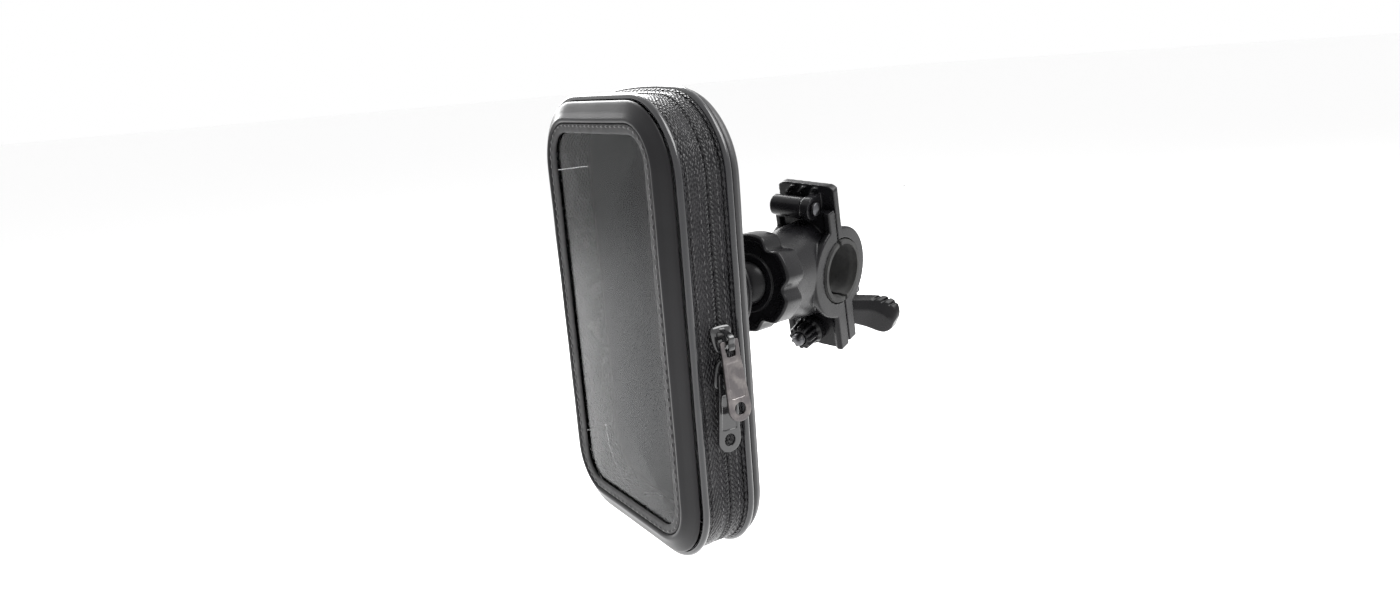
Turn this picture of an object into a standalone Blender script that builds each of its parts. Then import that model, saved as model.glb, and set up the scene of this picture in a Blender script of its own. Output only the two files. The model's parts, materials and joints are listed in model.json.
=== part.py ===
"""Zip-case phone mount for a bicycle handlebar.

Frame: origin at the centre of the handlebar bore, in the middle of the clamp.
+Z runs up the case, +Y points from the case's window towards the clamp, and +X
is the case's right-hand side.  The ball head holds the case turned, so the
handlebar's axis is oblique to the case.
"""
import math

import bmesh
import bpy
from mathutils import Euler, Vector

MM = 0.001
GAP = 0.3 * MM                      # clearance between touching pieces

# ---- pose of the clamp against the case -----------------------------------
PAN = math.radians(19.0)            # clamp turned about the vertical
ROLL = math.radians(5.0)            # handlebar's right end hangs lower
COLLAR_TILT = math.radians(-4.0)    # ball socket's axis above the handlebar
JAW_TILT = math.radians(15.0)       # split plane leans towards the case
BALL_TO_BAR = 41.2 * MM

# ---- case, in its own frame: x right, y back, z up, origin mid-window -------
CASE_HALF_W = 43.0 * MM
CASE_HALF_H = 72.0 * MM
CORNER_TOP = 24.0 * MM
CORNER_BOTTOM = 22.0 * MM
WINDOW_HALF_W = 31.0 * MM
WINDOW_HALF_H = 61.7 * MM
WINDOW_CORNER = 9.0 * MM
Y_WINDOW = -1.0 * MM
Y_FRONT_PIPING = 2.9 * MM
Y_ZIP = 12.2 * MM
Y_REAR_PIPING = 19.1 * MM
Y_BACK = 24.6 * MM
PIPING_R = 1.3 * MM
WALL = 0.8 * MM
ZIP_GAP = 0.9 * MM                  # slit between the two tapes
BALL_CASE = Vector((0.0, 55.0 * MM, 4.2 * MM))

# ---- ball head --------------------------------------------------------------
BALL_R = 8.5 * MM
SOCKET_R = BALL_R + GAP
NECK_R = 4.2 * MM
DISC_R = 15.2 * MM
DISC_Y = 44.5 * MM                  # rear face of the stem's flange disc
DISC_THICK = 3.4 * MM
BASE_R = 21.0 * MM
BASE_THICK = 4.0 * MM
SCREW_RING = 15.5 * MM
SCREW_R = 1.5 * MM
SCREW_HEAD_R = 2.8 * MM
SWIVEL_R = 7.0 * MM                 # spigot that turns in the base plate

# ---- lock ring ----------------------------------------------------------------
RING_R = 17.5 * MM
RING_LOBES = 6
RING_VALLEY = 2.6 * MM
RING_WIDTH = 10.5 * MM
RING_BORE_R = 11.8 * MM
RING_FRONT = -3.5 * MM              # front face, from the ball's centre
RING_WALL = 1.8 * MM                # front wall, whose mouth holds the ball in

# ---- clamp, in the jaws' frame: x along the bar, y to the rear, z up ----------
BAR_R = 10.4 * MM
LINER = 2.0 * MM
JAW_W = 24.0 * MM
JAW_BORE_R = BAR_R + LINER + 0.2 * MM
JAW_FRONT_R = 17.8 * MM
JAW_REAR_R = 16.8 * MM
SPLIT = 0.4 * MM                    # half the gap between the jaws
FLANGE = 5.0 * MM
FRONT_TOP_Z = 25.4 * MM
PLATE_TOP_Z = 34.2 * MM
PLATE = 2.8 * MM
FRONT_BOTTOM_Z = -32.2 * MM
REAR_BOTTOM_Z = -31.4 * MM
BARREL_R = 3.9 * MM
BARREL_Y = -5.4 * MM
BARREL_Z = 27.4 * MM
BARREL_X0 = -10.4 * MM
BARREL_X1 = 2.4 * MM
EAR_X0 = 2.8 * MM
EAR_X1 = 6.4 * MM
EAR_R = 4.3 * MM
RIBS = 3                            # slanting grip ribs on the plate above the barrel
RIB_X0 = -8.0 * MM
RIB_PITCH = 5.0 * MM
RIB_W = 1.5 * MM
RIB_LEAN = 2.4 * MM
RIB_PROUD = 0.7 * MM
PIN_R = 1.6 * MM
BOLT_R = 2.5 * MM
BOLT_X = -1.0 * MM
BOLT_Z = -24.6 * MM
BOLT_Y0 = -17.0 * MM
BOLT_Y1 = 29.0 * MM
STAR_R = 5.0 * MM
STAR_TEETH = 12
WASHER_R = 5.6 * MM
WASHER = 1.2 * MM
KNOB_HUB_R = 6.5 * MM
KNOB_DEPTH = 15.5 * MM
KNOB_TURN = math.radians(24.0)      # the right-hand wing hangs lower

# ---- zip sliders ---------------------------------------------------------------
SLIDER_UPPER_Z = 1.0 * MM
SLIDER_LOWER_Z = -9.4 * MM
PULL_LENGTH = 24.0 * MM
PULL_LEAN = math.radians(-6.0)      # the upper pull lies over the lower slider
PULL_DRIFT = math.radians(1.5)

SEGMENTS = 32
CORNER_STEPS = 7


# ---- scene helpers ---------------------------------------------------------------
def clear_scene():
    for obj in list(bpy.data.objects):
        bpy.data.objects.remove(obj, do_unlink=True)


def material(name, colour, roughness, metallic=0.0, alpha=1.0):
    mat = bpy.data.materials.new(name)
    mat.use_nodes = True
    shader = mat.node_tree.nodes["Principled BSDF"]
    shader.inputs["Base Color"].default_value = (*colour, 1.0)
    shader.inputs["Roughness"].default_value = roughness
    shader.inputs["Metallic"].default_value = metallic
    shader.inputs["Alpha"].default_value = alpha
    return mat


def empty(name, location=(0, 0, 0), rotation=(0, 0, 0), parent=None):
    obj = bpy.data.objects.new(name, None)
    obj.location = location
    obj.rotation_euler = rotation
    obj.parent = parent
    bpy.context.collection.objects.link(obj)
    return obj


def place(name, bm, mat, parent=None, location=(0, 0, 0), rotation=(0, 0, 0), sharp=35.0):
    """Closes a bmesh into a named object with outward faces."""
    bmesh.ops.recalc_face_normals(bm, faces=bm.faces)
    mesh = bpy.data.meshes.new(name)
    bm.to_mesh(mesh)
    bm.free()
    mesh.shade_smooth()
    mesh.set_sharp_from_angle(angle=math.radians(sharp))
    obj = bpy.data.objects.new(name, mesh)
    obj.location = location
    obj.rotation_euler = rotation
    obj.parent = parent
    if mat is not None:
        mesh.materials.append(mat)
    bpy.context.collection.objects.link(obj)
    return obj


def hide_cutter(obj):
    obj.hide_render = True
    obj.display_type = "WIRE"
    return obj


def boolean(obj, other, operation):
    hide_cutter(other)
    mod = obj.modifiers.new(f"{operation.lower()} {other.name}", "BOOLEAN")
    mod.operation = operation
    mod.solver = "EXACT"
    mod.object = other


# ---- shape helpers -----------------------------------------------------------------
def loft(rings, closed_path=False, cap=True):
    """Skins a list of equal rings of points; ends are capped or the path closes."""
    bm = bmesh.new()
    loops = [[bm.verts.new(p) for p in ring] for ring in rings]
    pairs = list(zip(loops, loops[1:]))
    if closed_path:
        pairs.append((loops[-1], loops[0]))
    for low, high in pairs:
        count = len(low)
        for i in range(count):
            j = (i + 1) % count
            bm.faces.new((low[i], low[j], high[j], high[i]))
    if cap and not closed_path:
        bm.faces.new(loops[0])
        bm.faces.new(reversed(loops[-1]))
    return bm


def circle(radius, y, segments=SEGMENTS, centre=(0.0, 0.0), squash=1.0):
    """Points of a circle in an XZ plane; squash narrows it along X."""
    return [
        Vector((centre[0] + squash * radius * math.cos(a), y, centre[1] + radius * math.sin(a)))
        for a in (2 * math.pi * i / segments for i in range(segments))
    ]


def turned(profile, segments=SEGMENTS, centre=(0.0, 0.0)):
    """Solid of revolution about Y from (radius, y) pairs."""
    return loft([circle(r, y, segments, centre) for r, y in profile])


def prism(points, axis, start, end):
    """Extrudes a 2-D outline along an axis: 'X' takes (y, z), 'Y' takes (x, z)."""
    def at(point, level):
        if axis == "X":
            return Vector((level, point[0], point[1]))
        return Vector((point[0], level, point[1]))
    return loft([[at(p, start) for p in points], [at(p, end) for p in points]])


def box(x0, x1, y0, y1, z0, z1):
    return prism([(x0, z0), (x1, z0), (x1, z1), (x0, z1)], "Y", y0, y1)


def rod(radius, x0, x1, segments, centre):
    """Cylinder along X about a (y, z) centre."""
    angles = [2 * math.pi * i / segments for i in range(segments)]
    return loft([
        [Vector((x, centre[0] + radius * math.cos(a), centre[1] + radius * math.sin(a))) for a in angles]
        for x in (x0, x1)
    ])


def arc(radius, start_deg, end_deg, steps, centre=(0.0, 0.0)):
    angles = [math.radians(start_deg + (end_deg - start_deg) * i / steps) for i in range(steps + 1)]
    return [(centre[0] + radius * math.cos(a), centre[1] + radius * math.sin(a)) for a in angles]


def case_outline(inset, half_w=CASE_HALF_W, half_h=CASE_HALF_H, top=CORNER_TOP, bottom=CORNER_BOTTOM):
    """(x, z) points of the case's rounded outline, pulled in by inset, from the
    lower left corner up the left side and clockwise as seen through the window."""
    w, h = half_w - inset, half_h - inset
    corners = (
        (-1, -1, bottom, 270, 180),
        (-1, 1, top, 180, 90),
        (1, 1, top, 90, 0),
        (1, -1, bottom, 0, -90),
    )
    points = []
    for sx, sz, radius, a0, a1 in corners:
        r = max(radius - inset, 0.5 * MM)
        points += arc(r, a0, a1, CORNER_STEPS, (sx * (w - r), sz * (h - r)))
    return points


def ring_solid(profile):
    """A closed section of (inset, y) points carried round the whole outline."""
    columns = [case_outline(inset) for inset, _ in profile]
    rings = []
    for i in range(len(columns[0])):
        rings.append([Vector((col[i][0], y, col[i][1])) for col, (_, y) in zip(columns, profile)])
    return loft(rings, closed_path=True)


def zip_solid(profile):
    """The same section carried along the zip: all round but the left side."""
    columns = [case_outline(inset) for inset, _ in profile]
    first = CORNER_STEPS + 1        # where the left side meets the top left corner
    last = CORNER_STEPS
    count = len(columns[0])
    order = [(first + i) % count for i in range(count)]
    order = order[: order.index(last) + 1]
    rings = []
    for i in order:
        rings.append([Vector((col[i][0], y, col[i][1])) for col, (_, y) in zip(columns, profile)])
    return loft(rings)


def strip(inset, thickness, y0, y1):
    """Section of a flat band lying against the case's side."""
    return [(inset, y0), (inset, y1), (inset + thickness, y1), (inset + thickness, y0)]


def bead(inset, y, radius, sides=8):
    return [(inset + x, y + z) for x, z in arc(radius, 0, 360 - 360 / sides, sides - 1)]


# ---- case ----------------------------------------------------------------------------
def window_blend(t):
    """(x, z) outline that passes from the case's outline, t = 0, to the window's, t = 1."""
    outer = case_outline(0.0)
    inner = case_outline(0.0, WINDOW_HALF_W, WINDOW_HALF_H, WINDOW_CORNER, WINDOW_CORNER)
    return [(a[0] + (b[0] - a[0]) * t, a[1] + (b[1] - a[1]) * t) for a, b in zip(outer, inner)]


def blend_solid(profile):
    """Closed section of (t, y) points, t running from the case's edge to the window's."""
    columns = [window_blend(t) for t, _ in profile]
    rings = []
    for i in range(len(columns[0])):
        rings.append([Vector((col[i][0], y, col[i][1])) for col, (_, y) in zip(columns, profile)])
    return loft(rings, closed_path=True)


def plate_solid(inset_y, window=False):
    """A plate from (inset, y) pairs, capped front and back."""
    rings = []
    for inset, y in inset_y:
        if window:
            ring = case_outline(inset, WINDOW_HALF_W, WINDOW_HALF_H, WINDOW_CORNER, WINDOW_CORNER)
        else:
            ring = case_outline(inset)
        rings.append([Vector((x, y, z)) for x, z in ring])
    return loft(rings)


def make_front_shell(mat, parent):
    section = (
        (0.03, 1.3), (-0.02, 1.1), (0.04, 0.6), (0.25, -0.5), (0.45, -1.4), (0.62, -1.95), (0.74, -1.85),
        (0.79, -1.4), (0.8, 0.9), (0.5, 1.3),
    )
    place("front_shell", blend_solid([(t, y * MM) for t, y in section]), mat, parent)


def make_window(mats, parent):
    hem = ((0.815, -1.5), (1.0, -1.3), (1.0, -0.7), (0.815, -0.7))
    place("window_hem", blend_solid([(t, y * MM) for t, y in hem]), mats["leather"], parent)
    edge = -1.8 * MM
    sheet = plate_solid([(edge, Y_WINDOW + 2 * GAP), (edge, Y_WINDOW + 2 * GAP + 0.5 * MM)], window=True)
    place("window", sheet, mats["window"], parent)


def make_side_wall(mats, parent):
    place("front_piping", ring_solid(bead(0.0, Y_FRONT_PIPING, PIPING_R)), mats["piping"], parent)
    place("rear_piping", ring_solid(bead(0.0, Y_REAR_PIPING, PIPING_R)), mats["piping"], parent)
    front = (Y_FRONT_PIPING + PIPING_R + GAP, Y_ZIP - ZIP_GAP / 2)
    rear = (Y_ZIP + ZIP_GAP / 2, Y_REAR_PIPING - PIPING_R - GAP)
    tape_inset = 0.5 * MM
    coil_inset = tape_inset + WALL + GAP
    coil_w = 1.7 * MM
    place("zip_tape_front", zip_solid(strip(tape_inset, WALL, *front)), mats["tape"], parent)
    place("zip_tape_rear", zip_solid(strip(tape_inset, WALL, *rear)), mats["tape"], parent)
    coil_front = strip(coil_inset, 1.2 * MM, front[1] - coil_w, front[1])
    coil_rear = strip(coil_inset, 1.2 * MM, rear[0], rear[0] + coil_w)
    place("zip_coil_front", zip_solid(coil_front), mats["coil"], parent)
    place("zip_coil_rear", zip_solid(coil_rear), mats["coil"], parent)
    z_low = -(CASE_HALF_H - CORNER_BOTTOM) + GAP
    z_high = (CASE_HALF_H - CORNER_TOP) - GAP
    x0 = -CASE_HALF_W + tape_inset
    for name, (y0, y1) in (("spine_front", front), ("spine_rear", rear)):
        place(name, box(x0, x0 + WALL, y0, y1, z_low, z_high), mats["leather"], parent)


def make_back(mats, parent):
    y0 = Y_REAR_PIPING + PIPING_R + GAP
    tray = [
        (0.2 * MM, y0), (0.0, y0 + 1.4 * MM), (1.0 * MM, Y_BACK - 1.0 * MM), (3.4 * MM, Y_BACK),
        (4.0 * MM, Y_BACK), (4.0 * MM, Y_BACK - 1.2 * MM), (1.9 * MM, y0),
    ]
    back = [Vector((x, Y_BACK, z)) for x, z in case_outline(4.0 * MM)]
    inner = [Vector((x, Y_BACK - 1.2 * MM, z)) for x, z in case_outline(4.0 * MM)]
    rings = [[Vector((x, y, z)) for x, z in case_outline(inset)] for inset, y in tray]
    bm = loft([inner, rings[6], rings[0], rings[1], rings[2], rings[3], back])
    shell = place("back_shell", bm, mats["shell"], parent)
    for i, (x, z) in enumerate(screw_places()):
        through = [(SCREW_R + GAP, Y_BACK - 3 * MM), (SCREW_R + GAP, Y_BACK + 2 * MM)]
        hole = place(f"screw_hole_{i + 1}", turned(through, 12, (x, z)), None, parent)
        boolean(shell, hole, "DIFFERENCE")
    pad_y0 = Y_ZIP + 0.6 * MM
    pad = [(6.2 * MM, pad_y0 + 1.0 * MM), (5.4 * MM, pad_y0 + 2.0 * MM), (5.4 * MM, 20.2 * MM)]
    face = (7.6 * MM, pad_y0)
    place("foam_pad", plate_solid([face] + pad), mats["foam"], parent)


def screw_places():
    return [
        (BALL_CASE.x + SCREW_RING * math.cos(a), BALL_CASE.z + SCREW_RING * math.sin(a))
        for a in (math.radians(45 + 90 * i) for i in range(4))
    ]


def make_mounting(mats, parent):
    """Backing plate, base plate and the screws that hold them to the tray."""
    centre = (BALL_CASE.x, BALL_CASE.z)
    back_y = Y_BACK - 1.2 * MM - GAP
    plate_y0 = 20.2 * MM + GAP
    plate = place("backing_plate", turned([(BASE_R, plate_y0), (BASE_R, back_y)], SEGMENTS, centre),
                  mats["plastic"], parent)
    base_y0 = Y_BACK + GAP
    base_y1 = base_y0 + BASE_THICK
    boss_y = base_y1 + 5.0 * MM
    base = [
        (BASE_R - 0.8 * MM, base_y0), (BASE_R, base_y0 + 0.8 * MM), (BASE_R, base_y1 - 1.2 * MM),
        (BASE_R - 1.2 * MM, base_y1), (SWIVEL_R + 4.6 * MM, base_y1),
        (SWIVEL_R + 3.0 * MM, base_y1 + 1.6 * MM), (SWIVEL_R + 2.6 * MM, boss_y),
        (SWIVEL_R + GAP, boss_y), (SWIVEL_R + GAP, base_y1 - 1.0 * MM),
    ]
    base_plate = place("base_plate", turned(base, SEGMENTS, centre), mats["plastic"], parent)
    head = 1.4 * MM
    for i, (x, z) in enumerate(screw_places()):
        clear = SCREW_R + GAP
        for target, y0, y1 in ((plate, plate_y0 + 1.2 * MM, back_y + 1 * MM),
                               (base_plate, base_y0 - 1 * MM, base_y1 + 1 * MM)):
            drill = turned([(clear, y0), (clear, y1)], 12, (x, z))
            hole = place(f"hole_{target.name}_{i + 1}", drill, None, parent)
            boolean(target, hole, "DIFFERENCE")
        screw = [
            (SCREW_R - 0.4 * MM, plate_y0 + 1.5 * MM), (SCREW_R, plate_y0 + 2.0 * MM),
            (SCREW_R, base_y1 + GAP), (SCREW_HEAD_R, base_y1 + GAP),
            (SCREW_HEAD_R, base_y1 + GAP + 0.7 * head),
            (SCREW_HEAD_R - 0.9 * MM, base_y1 + GAP + head),
        ]
        place(f"screw_{i + 1}", turned(screw, 12, (x, z)), mats["steel"], parent)


# ---- zip sliders -------------------------------------------------------------------------
def make_slider(name, mat, parent, z, flip):
    """Slider on the case's right side: a shield-shaped body over the slit, a bridge
    for the pull, a thin post through the slit and a plate behind the rear coil."""
    x0 = CASE_HALF_W - 0.5 * MM + GAP
    half = 4.4 * MM
    outline = [(-3.4, half), (3.4, half), (3.6, 1.0 * MM), (2.0, -half), (-2.0, -half), (-3.6, 1.0 * MM)]
    outline = [(y * MM, zz) for y, zz in outline]
    lower = [Vector((x0, y, zz * flip)) for y, zz in outline]
    upper = [Vector((x0 + 1.3 * MM, y, zz * flip)) for y, zz in outline]
    crown = [Vector((x0 + 1.8 * MM, 0.8 * y, 0.86 * zz * flip)) for y, zz in outline]
    body = place(name, loft([lower, upper, crown]), mat, parent, (0, Y_ZIP, z))
    bridge_h = BRIDGE_HEIGHT[name]
    bridge = box(x0 + 1.2 * MM, x0 + bridge_h, -1.0 * MM, 1.0 * MM, -3.0 * MM, 3.0 * MM)
    bridge_obj = place(f"{name}_bridge", bridge, None, parent, (0, Y_ZIP, z))
    boolean(body, bridge_obj, "UNION")
    eye = box(x0 + 1.9 * MM, x0 + bridge_h - 0.9 * MM, -3.0 * MM, 3.0 * MM, -2.0 * MM, 2.0 * MM)
    boolean(body, place(f"{name}_eye", eye, None, parent, (0, Y_ZIP, z)), "DIFFERENCE")
    post = box(x0 - 4.6 * MM, x0 + 0.6 * MM, -0.15 * MM, 0.15 * MM, -2.0 * MM, 2.0 * MM)
    boolean(body, place(f"{name}_post", post, None, parent, (0, Y_ZIP, z)), "UNION")
    inner = box(x0 - 4.6 * MM, x0 - 3.9 * MM, -0.15 * MM, 3.0 * MM, -3.4 * MM, 3.4 * MM)
    boolean(body, place(f"{name}_inner", inner, None, parent, (0, Y_ZIP, z)), "UNION")
    return x0


# height of each bridge above the tape; the upper one lifts its pull over the lower slider
BRIDGE_HEIGHT = {"slider_upper": 6.6 * MM, "slider_lower": 4.6 * MM}


def make_pull(name, mat, parent, x, z, lean, drift):
    """Long tapered pull hanging from its slider's bridge, with a round hole at its
    free end.  lean tips the free end away from the case, drift turns it sideways."""
    thick = 1.0 * MM
    bar = 0.6 * MM
    length = PULL_LENGTH
    end_r = 3.9 * MM
    outline = [(-3.1 * MM, bar), (-3.1 * MM, -5.0 * MM), (-3.3 * MM, -7.0 * MM)]
    outline += arc(end_r, 180, 360, 10, (0.0, -(length - end_r)))
    outline += [(3.3 * MM, -7.0 * MM), (3.1 * MM, -5.0 * MM), (3.1 * MM, bar)]
    bm = prism(outline, "X", -thick / 2, thick / 2)
    pivot = empty(f"{name}_axis", (x, Y_ZIP, z), (drift, lean, 0.0), parent)
    pull = place(name, bm, mat, pivot)
    loop = box(-2 * MM, 2 * MM, -1.9 * MM, 1.9 * MM, -4.2 * MM, -bar)
    boolean(pull, place(f"{name}_loop", loop, None, pivot), "DIFFERENCE")
    hole = loft([[Vector((level, 1.8 * MM * math.cos(a), -(length - end_r) + 1.8 * MM * math.sin(a)))
                  for a in (2 * math.pi * i / 16 for i in range(16))] for level in (-2 * MM, 2 * MM)])
    boolean(pull, place(f"{name}_hole", hole, None, pivot), "DIFFERENCE")


def make_sliders(mats, parent):
    x0 = make_slider("slider_upper", mats["black_metal"], parent, SLIDER_UPPER_Z, 1)
    make_slider("slider_lower", mats["black_metal"], parent, SLIDER_LOWER_Z, -1)
    upper_x = x0 + BRIDGE_HEIGHT["slider_upper"] - 1.8 * MM
    lower_x = x0 + BRIDGE_HEIGHT["slider_lower"] - 1.8 * MM
    make_pull("pull_upper", mats["pull"], parent, upper_x, SLIDER_UPPER_Z, PULL_LEAN, PULL_DRIFT)
    make_pull("pull_lower", mats["black_metal"], parent, lower_x, SLIDER_LOWER_Z, 0.0, -PULL_DRIFT)


# ---- ball head ----------------------------------------------------------------------------
def make_stem(mats, parent):
    """Swivel spigot, flange disc and neck, with a hollow end seated on the ball."""
    y0 = Y_BACK + 4.5 * MM
    seat = BALL_R + GAP
    steps = 5
    dimple = math.asin(0.7 * NECK_R / seat)
    disc_y0 = DISC_Y - DISC_THICK
    profile = [
        (SWIVEL_R - 0.8 * MM, y0), (SWIVEL_R, y0 + 0.8 * MM), (SWIVEL_R, 36.0 * MM), (8.4 * MM, 38.0 * MM),
        (8.4 * MM, disc_y0 - 1.2 * MM), (DISC_R - 0.7 * MM, disc_y0), (DISC_R, disc_y0 + 0.8 * MM),
        (DISC_R, DISC_Y - 0.8 * MM),
        (DISC_R - 0.7 * MM, DISC_Y), (6.2 * MM, DISC_Y), (NECK_R, DISC_Y + 0.6 * MM),
        (NECK_R, BALL_CASE.y - seat * math.cos(NECK_R / seat)),
    ]
    profile += [
        (seat * math.sin(a), BALL_CASE.y - seat * math.cos(a))
        for a in (dimple * (1 - i / steps) for i in range(1, steps))
    ]
    place("stem", turned(profile, SEGMENTS, (BALL_CASE.x, BALL_CASE.z)), mats["plastic"], parent)


def make_ball(mats, parent):
    steps = 12
    profile = [
        (BALL_R * math.sin(a), -BALL_R * math.cos(a))
        for a in (math.pi * (i + 0.5) / steps for i in range(steps))
    ]
    place("ball", turned(profile, 24), mats["plastic"], parent)


def ring_outline(radius, y, valley):
    """Six broad lobes with narrow scooped valleys between them."""
    points = []
    count = 72
    for i in range(count):
        a = 2 * math.pi * i / count
        phase = (a * RING_LOBES / (2 * math.pi) + 0.5) % 1.0 - 0.5
        scoop = valley * math.cos(math.pi * phase / 0.6) if abs(phase) < 0.3 else 0.0
        r = radius - scoop
        points.append(Vector((r * math.cos(a), y, r * math.sin(a))))
    return points


def make_lock_ring(mats, parent):
    """Ring nut on the collar's axis; y is measured from the ball's centre."""
    y0 = RING_FRONT
    y1 = y0 + RING_WIDTH
    wall_y = y0 + RING_WALL
    bore = RING_BORE_R

    def seat(y):
        return math.sqrt(SOCKET_R ** 2 - y ** 2)

    rings = [
        ring_outline(bore, y1, 0.0), ring_outline(RING_R - 0.8 * MM, y1, RING_VALLEY),
        ring_outline(RING_R, y1 - 0.8 * MM, RING_VALLEY), ring_outline(RING_R, y0 + 0.8 * MM, RING_VALLEY),
        ring_outline(RING_R - 0.8 * MM, y0, RING_VALLEY), ring_outline(seat(y0), y0, 0.0),
        ring_outline(seat(wall_y), wall_y, 0.0), ring_outline(bore, wall_y, 0.0),
    ]
    place("lock_ring", loft(rings, closed_path=True), mats["plastic"], parent)


# ---- clamp ------------------------------------------------------------------------------------
def make_front_jaw(mats, jaws, collar):
    bore, outer = JAW_BORE_R, JAW_FRONT_R
    start = math.degrees(math.acos(SPLIT / bore))
    flange = -SPLIT - FLANGE
    web = -SPLIT - 3.2 * MM
    low = math.degrees(math.asin(-flange / outer))
    high = math.degrees(math.asin(-web / outer))
    outline = [(-SPLIT, FRONT_TOP_Z)]
    outline += arc(bore, 180 - start, 180 + start, 20)
    outline += [(-SPLIT, FRONT_BOTTOM_Z), (flange, FRONT_BOTTOM_Z)]
    outline += arc(outer, 270 - low, 90 + high, 18)
    outline += [(web, FRONT_TOP_Z)]
    jaw = place("front_jaw", prism(outline, "X", -JAW_W / 2, JAW_W / 2), mats["plastic"], jaws)
    hinge = (BARREL_Y, BARREL_Z)
    barrel = rod(BARREL_R, BARREL_X0, BARREL_X1, 20, hinge)
    boolean(jaw, place("barrel", barrel, None, jaws), "UNION")
    web_box = box(BARREL_X0 + 0.1 * MM, BARREL_X1 - 0.1 * MM, BARREL_Y, -SPLIT - 0.1 * MM,
                  BARREL_Z - 5.0 * MM, BARREL_Z + 1.8 * MM)
    boolean(jaw, place("barrel_web", web_box, None, jaws), "UNION")
    shoulder = 2 * GAP - (BALL_TO_BAR - RING_FRONT - RING_WIDTH)
    boss_profile = (
        (11.8, 18.6, -4.0), (11.8, 18.6, -12.0), (12.0, 17.8, -18.0), (12.4, 16.0, -25.0),
        (12.9, 14.2, -31.0),
    )
    boss = [circle(rz * MM, y * MM, 40, squash=rx / rz) for rx, rz, y in boss_profile]
    cup_r = RING_BORE_R - 2 * GAP
    cup_rise = -(RING_FRONT + RING_WALL) - 1.6 * GAP      # how far the cup passes the ball's centre
    boss += [circle(r, y, 40) for r, y in (
        (13.4 * MM, shoulder), (cup_r, shoulder), (cup_r, -BALL_TO_BAR - cup_rise))]
    centre = -BALL_TO_BAR
    mouth = math.acos(cup_rise / SOCKET_R)
    steps = 9
    for i in range(steps):
        a = mouth + (math.pi - mouth) * i / steps
        boss.append(circle(SOCKET_R * math.sin(a), centre - SOCKET_R * math.cos(a), 40))
    boolean(jaw, place("socket_boss", loft(boss), None, collar), "UNION")
    boolean(jaw, place("front_bore", rod(bore, -JAW_W, JAW_W, 40, (0.0, 0.0)), None, jaws), "DIFFERENCE")
    rear_side = box(-JAW_W, JAW_W, -SPLIT, 30 * MM, -30 * MM, 24 * MM)
    boolean(jaw, place("front_split", rear_side, None, jaws), "DIFFERENCE")
    notch = box(BARREL_X1 + 0.02 * MM, EAR_X1 + GAP, -12 * MM, 2 * MM, BARREL_Z - 5.2 * MM, 40 * MM)
    boolean(jaw, place("ear_notch", notch, None, jaws), "DIFFERENCE")
    bolt_hole = turned([(BOLT_R + GAP, -20 * MM), (BOLT_R + GAP, 2 * MM)], 16, (BOLT_X, BOLT_Z))
    boolean(jaw, place("front_bolt_hole", bolt_hole, None, jaws), "DIFFERENCE")
    pin_hole = rod(PIN_R + GAP, -20 * MM, 20 * MM, 12, hinge)
    boolean(jaw, place("front_pin_hole", pin_hole, None, jaws), "DIFFERENCE")


def make_rear_jaw(mats, jaws):
    bore, outer = JAW_BORE_R, JAW_REAR_R
    start = math.degrees(math.acos(SPLIT / bore))
    flange = SPLIT + FLANGE
    plate = SPLIT + PLATE
    low = math.degrees(math.asin(flange / outer))
    high = math.degrees(math.asin(plate / outer))
    outline = [(SPLIT, PLATE_TOP_Z)]
    outline += arc(bore, start, -start, 20)
    outline += [(SPLIT, REAR_BOTTOM_Z), (flange, REAR_BOTTOM_Z)]
    outline += arc(outer, -90 + low, 90 - high, 18)
    outline += [(plate, PLATE_TOP_Z)]
    bm = prism(outline, "X", -JAW_W / 2, JAW_W / 2)
    corners = [
        e for e in bm.edges
        if all(abs(v.co.z - PLATE_TOP_Z) < 1e-6 for v in e.verts)
        and abs(e.verts[0].co.x - e.verts[1].co.x) < 1e-6
    ]
    bmesh.ops.bevel(bm, geom=corners, offset=3.6 * MM, segments=5, affect="EDGES", profile=0.5)
    jaw = place("rear_jaw", bm, mats["plastic"], jaws)
    hinge = (BARREL_Y, BARREL_Z)
    boolean(jaw, place("ear", rod(EAR_R, EAR_X0, EAR_X1, 20, hinge), None, jaws), "UNION")
    root = box(EAR_X0 + 0.1 * MM, EAR_X1 - 0.1 * MM, BARREL_Y, SPLIT + 0.5 * MM, BARREL_Z - 3.9 * MM,
               BARREL_Z + 3.9 * MM)
    boolean(jaw, place("ear_root", root, None, jaws), "UNION")
    low_z, high_z = PLATE_TOP_Z - 2.0 * MM, PLATE_TOP_Z - 1.0 * MM
    for i in range(RIBS):
        x = RIB_X0 + i * RIB_PITCH
        rib = [(x, low_z), (x + RIB_W, low_z), (x + RIB_LEAN + RIB_W, high_z), (x + RIB_LEAN, high_z)]
        bar = prism(rib, "Y", -RIB_PROUD, SPLIT + 0.4 * MM)
        boolean(jaw, place(f"rib_{i + 1}", bar, None, jaws), "UNION")
    pin_hole = rod(PIN_R + GAP, -20 * MM, 20 * MM, 12, hinge)
    boolean(jaw, place("rear_pin_hole", pin_hole, None, jaws), "DIFFERENCE")
    slot_r = BOLT_R + 0.8 * MM
    slot = box(BOLT_X - slot_r, BOLT_X + slot_r, -2 * MM, 12 * MM, -50 * MM, BOLT_Z + slot_r)
    boolean(jaw, place("bolt_slot", slot, None, jaws), "DIFFERENCE")


def make_liners(mats, jaws):
    outer = JAW_BORE_R - GAP
    start = math.degrees(math.acos(0.5 * MM / BAR_R)) - 2.0
    half = JAW_W / 2 + 0.8 * MM
    for name, middle in (("liner_front", 180.0), ("liner_rear", 0.0)):
        outline = arc(BAR_R, middle - start, middle + start, 18)
        outline += arc(outer, middle + start, middle - start, 18)
        place(name, prism(outline, "X", -half, half), mats["rubber"], jaws)


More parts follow.
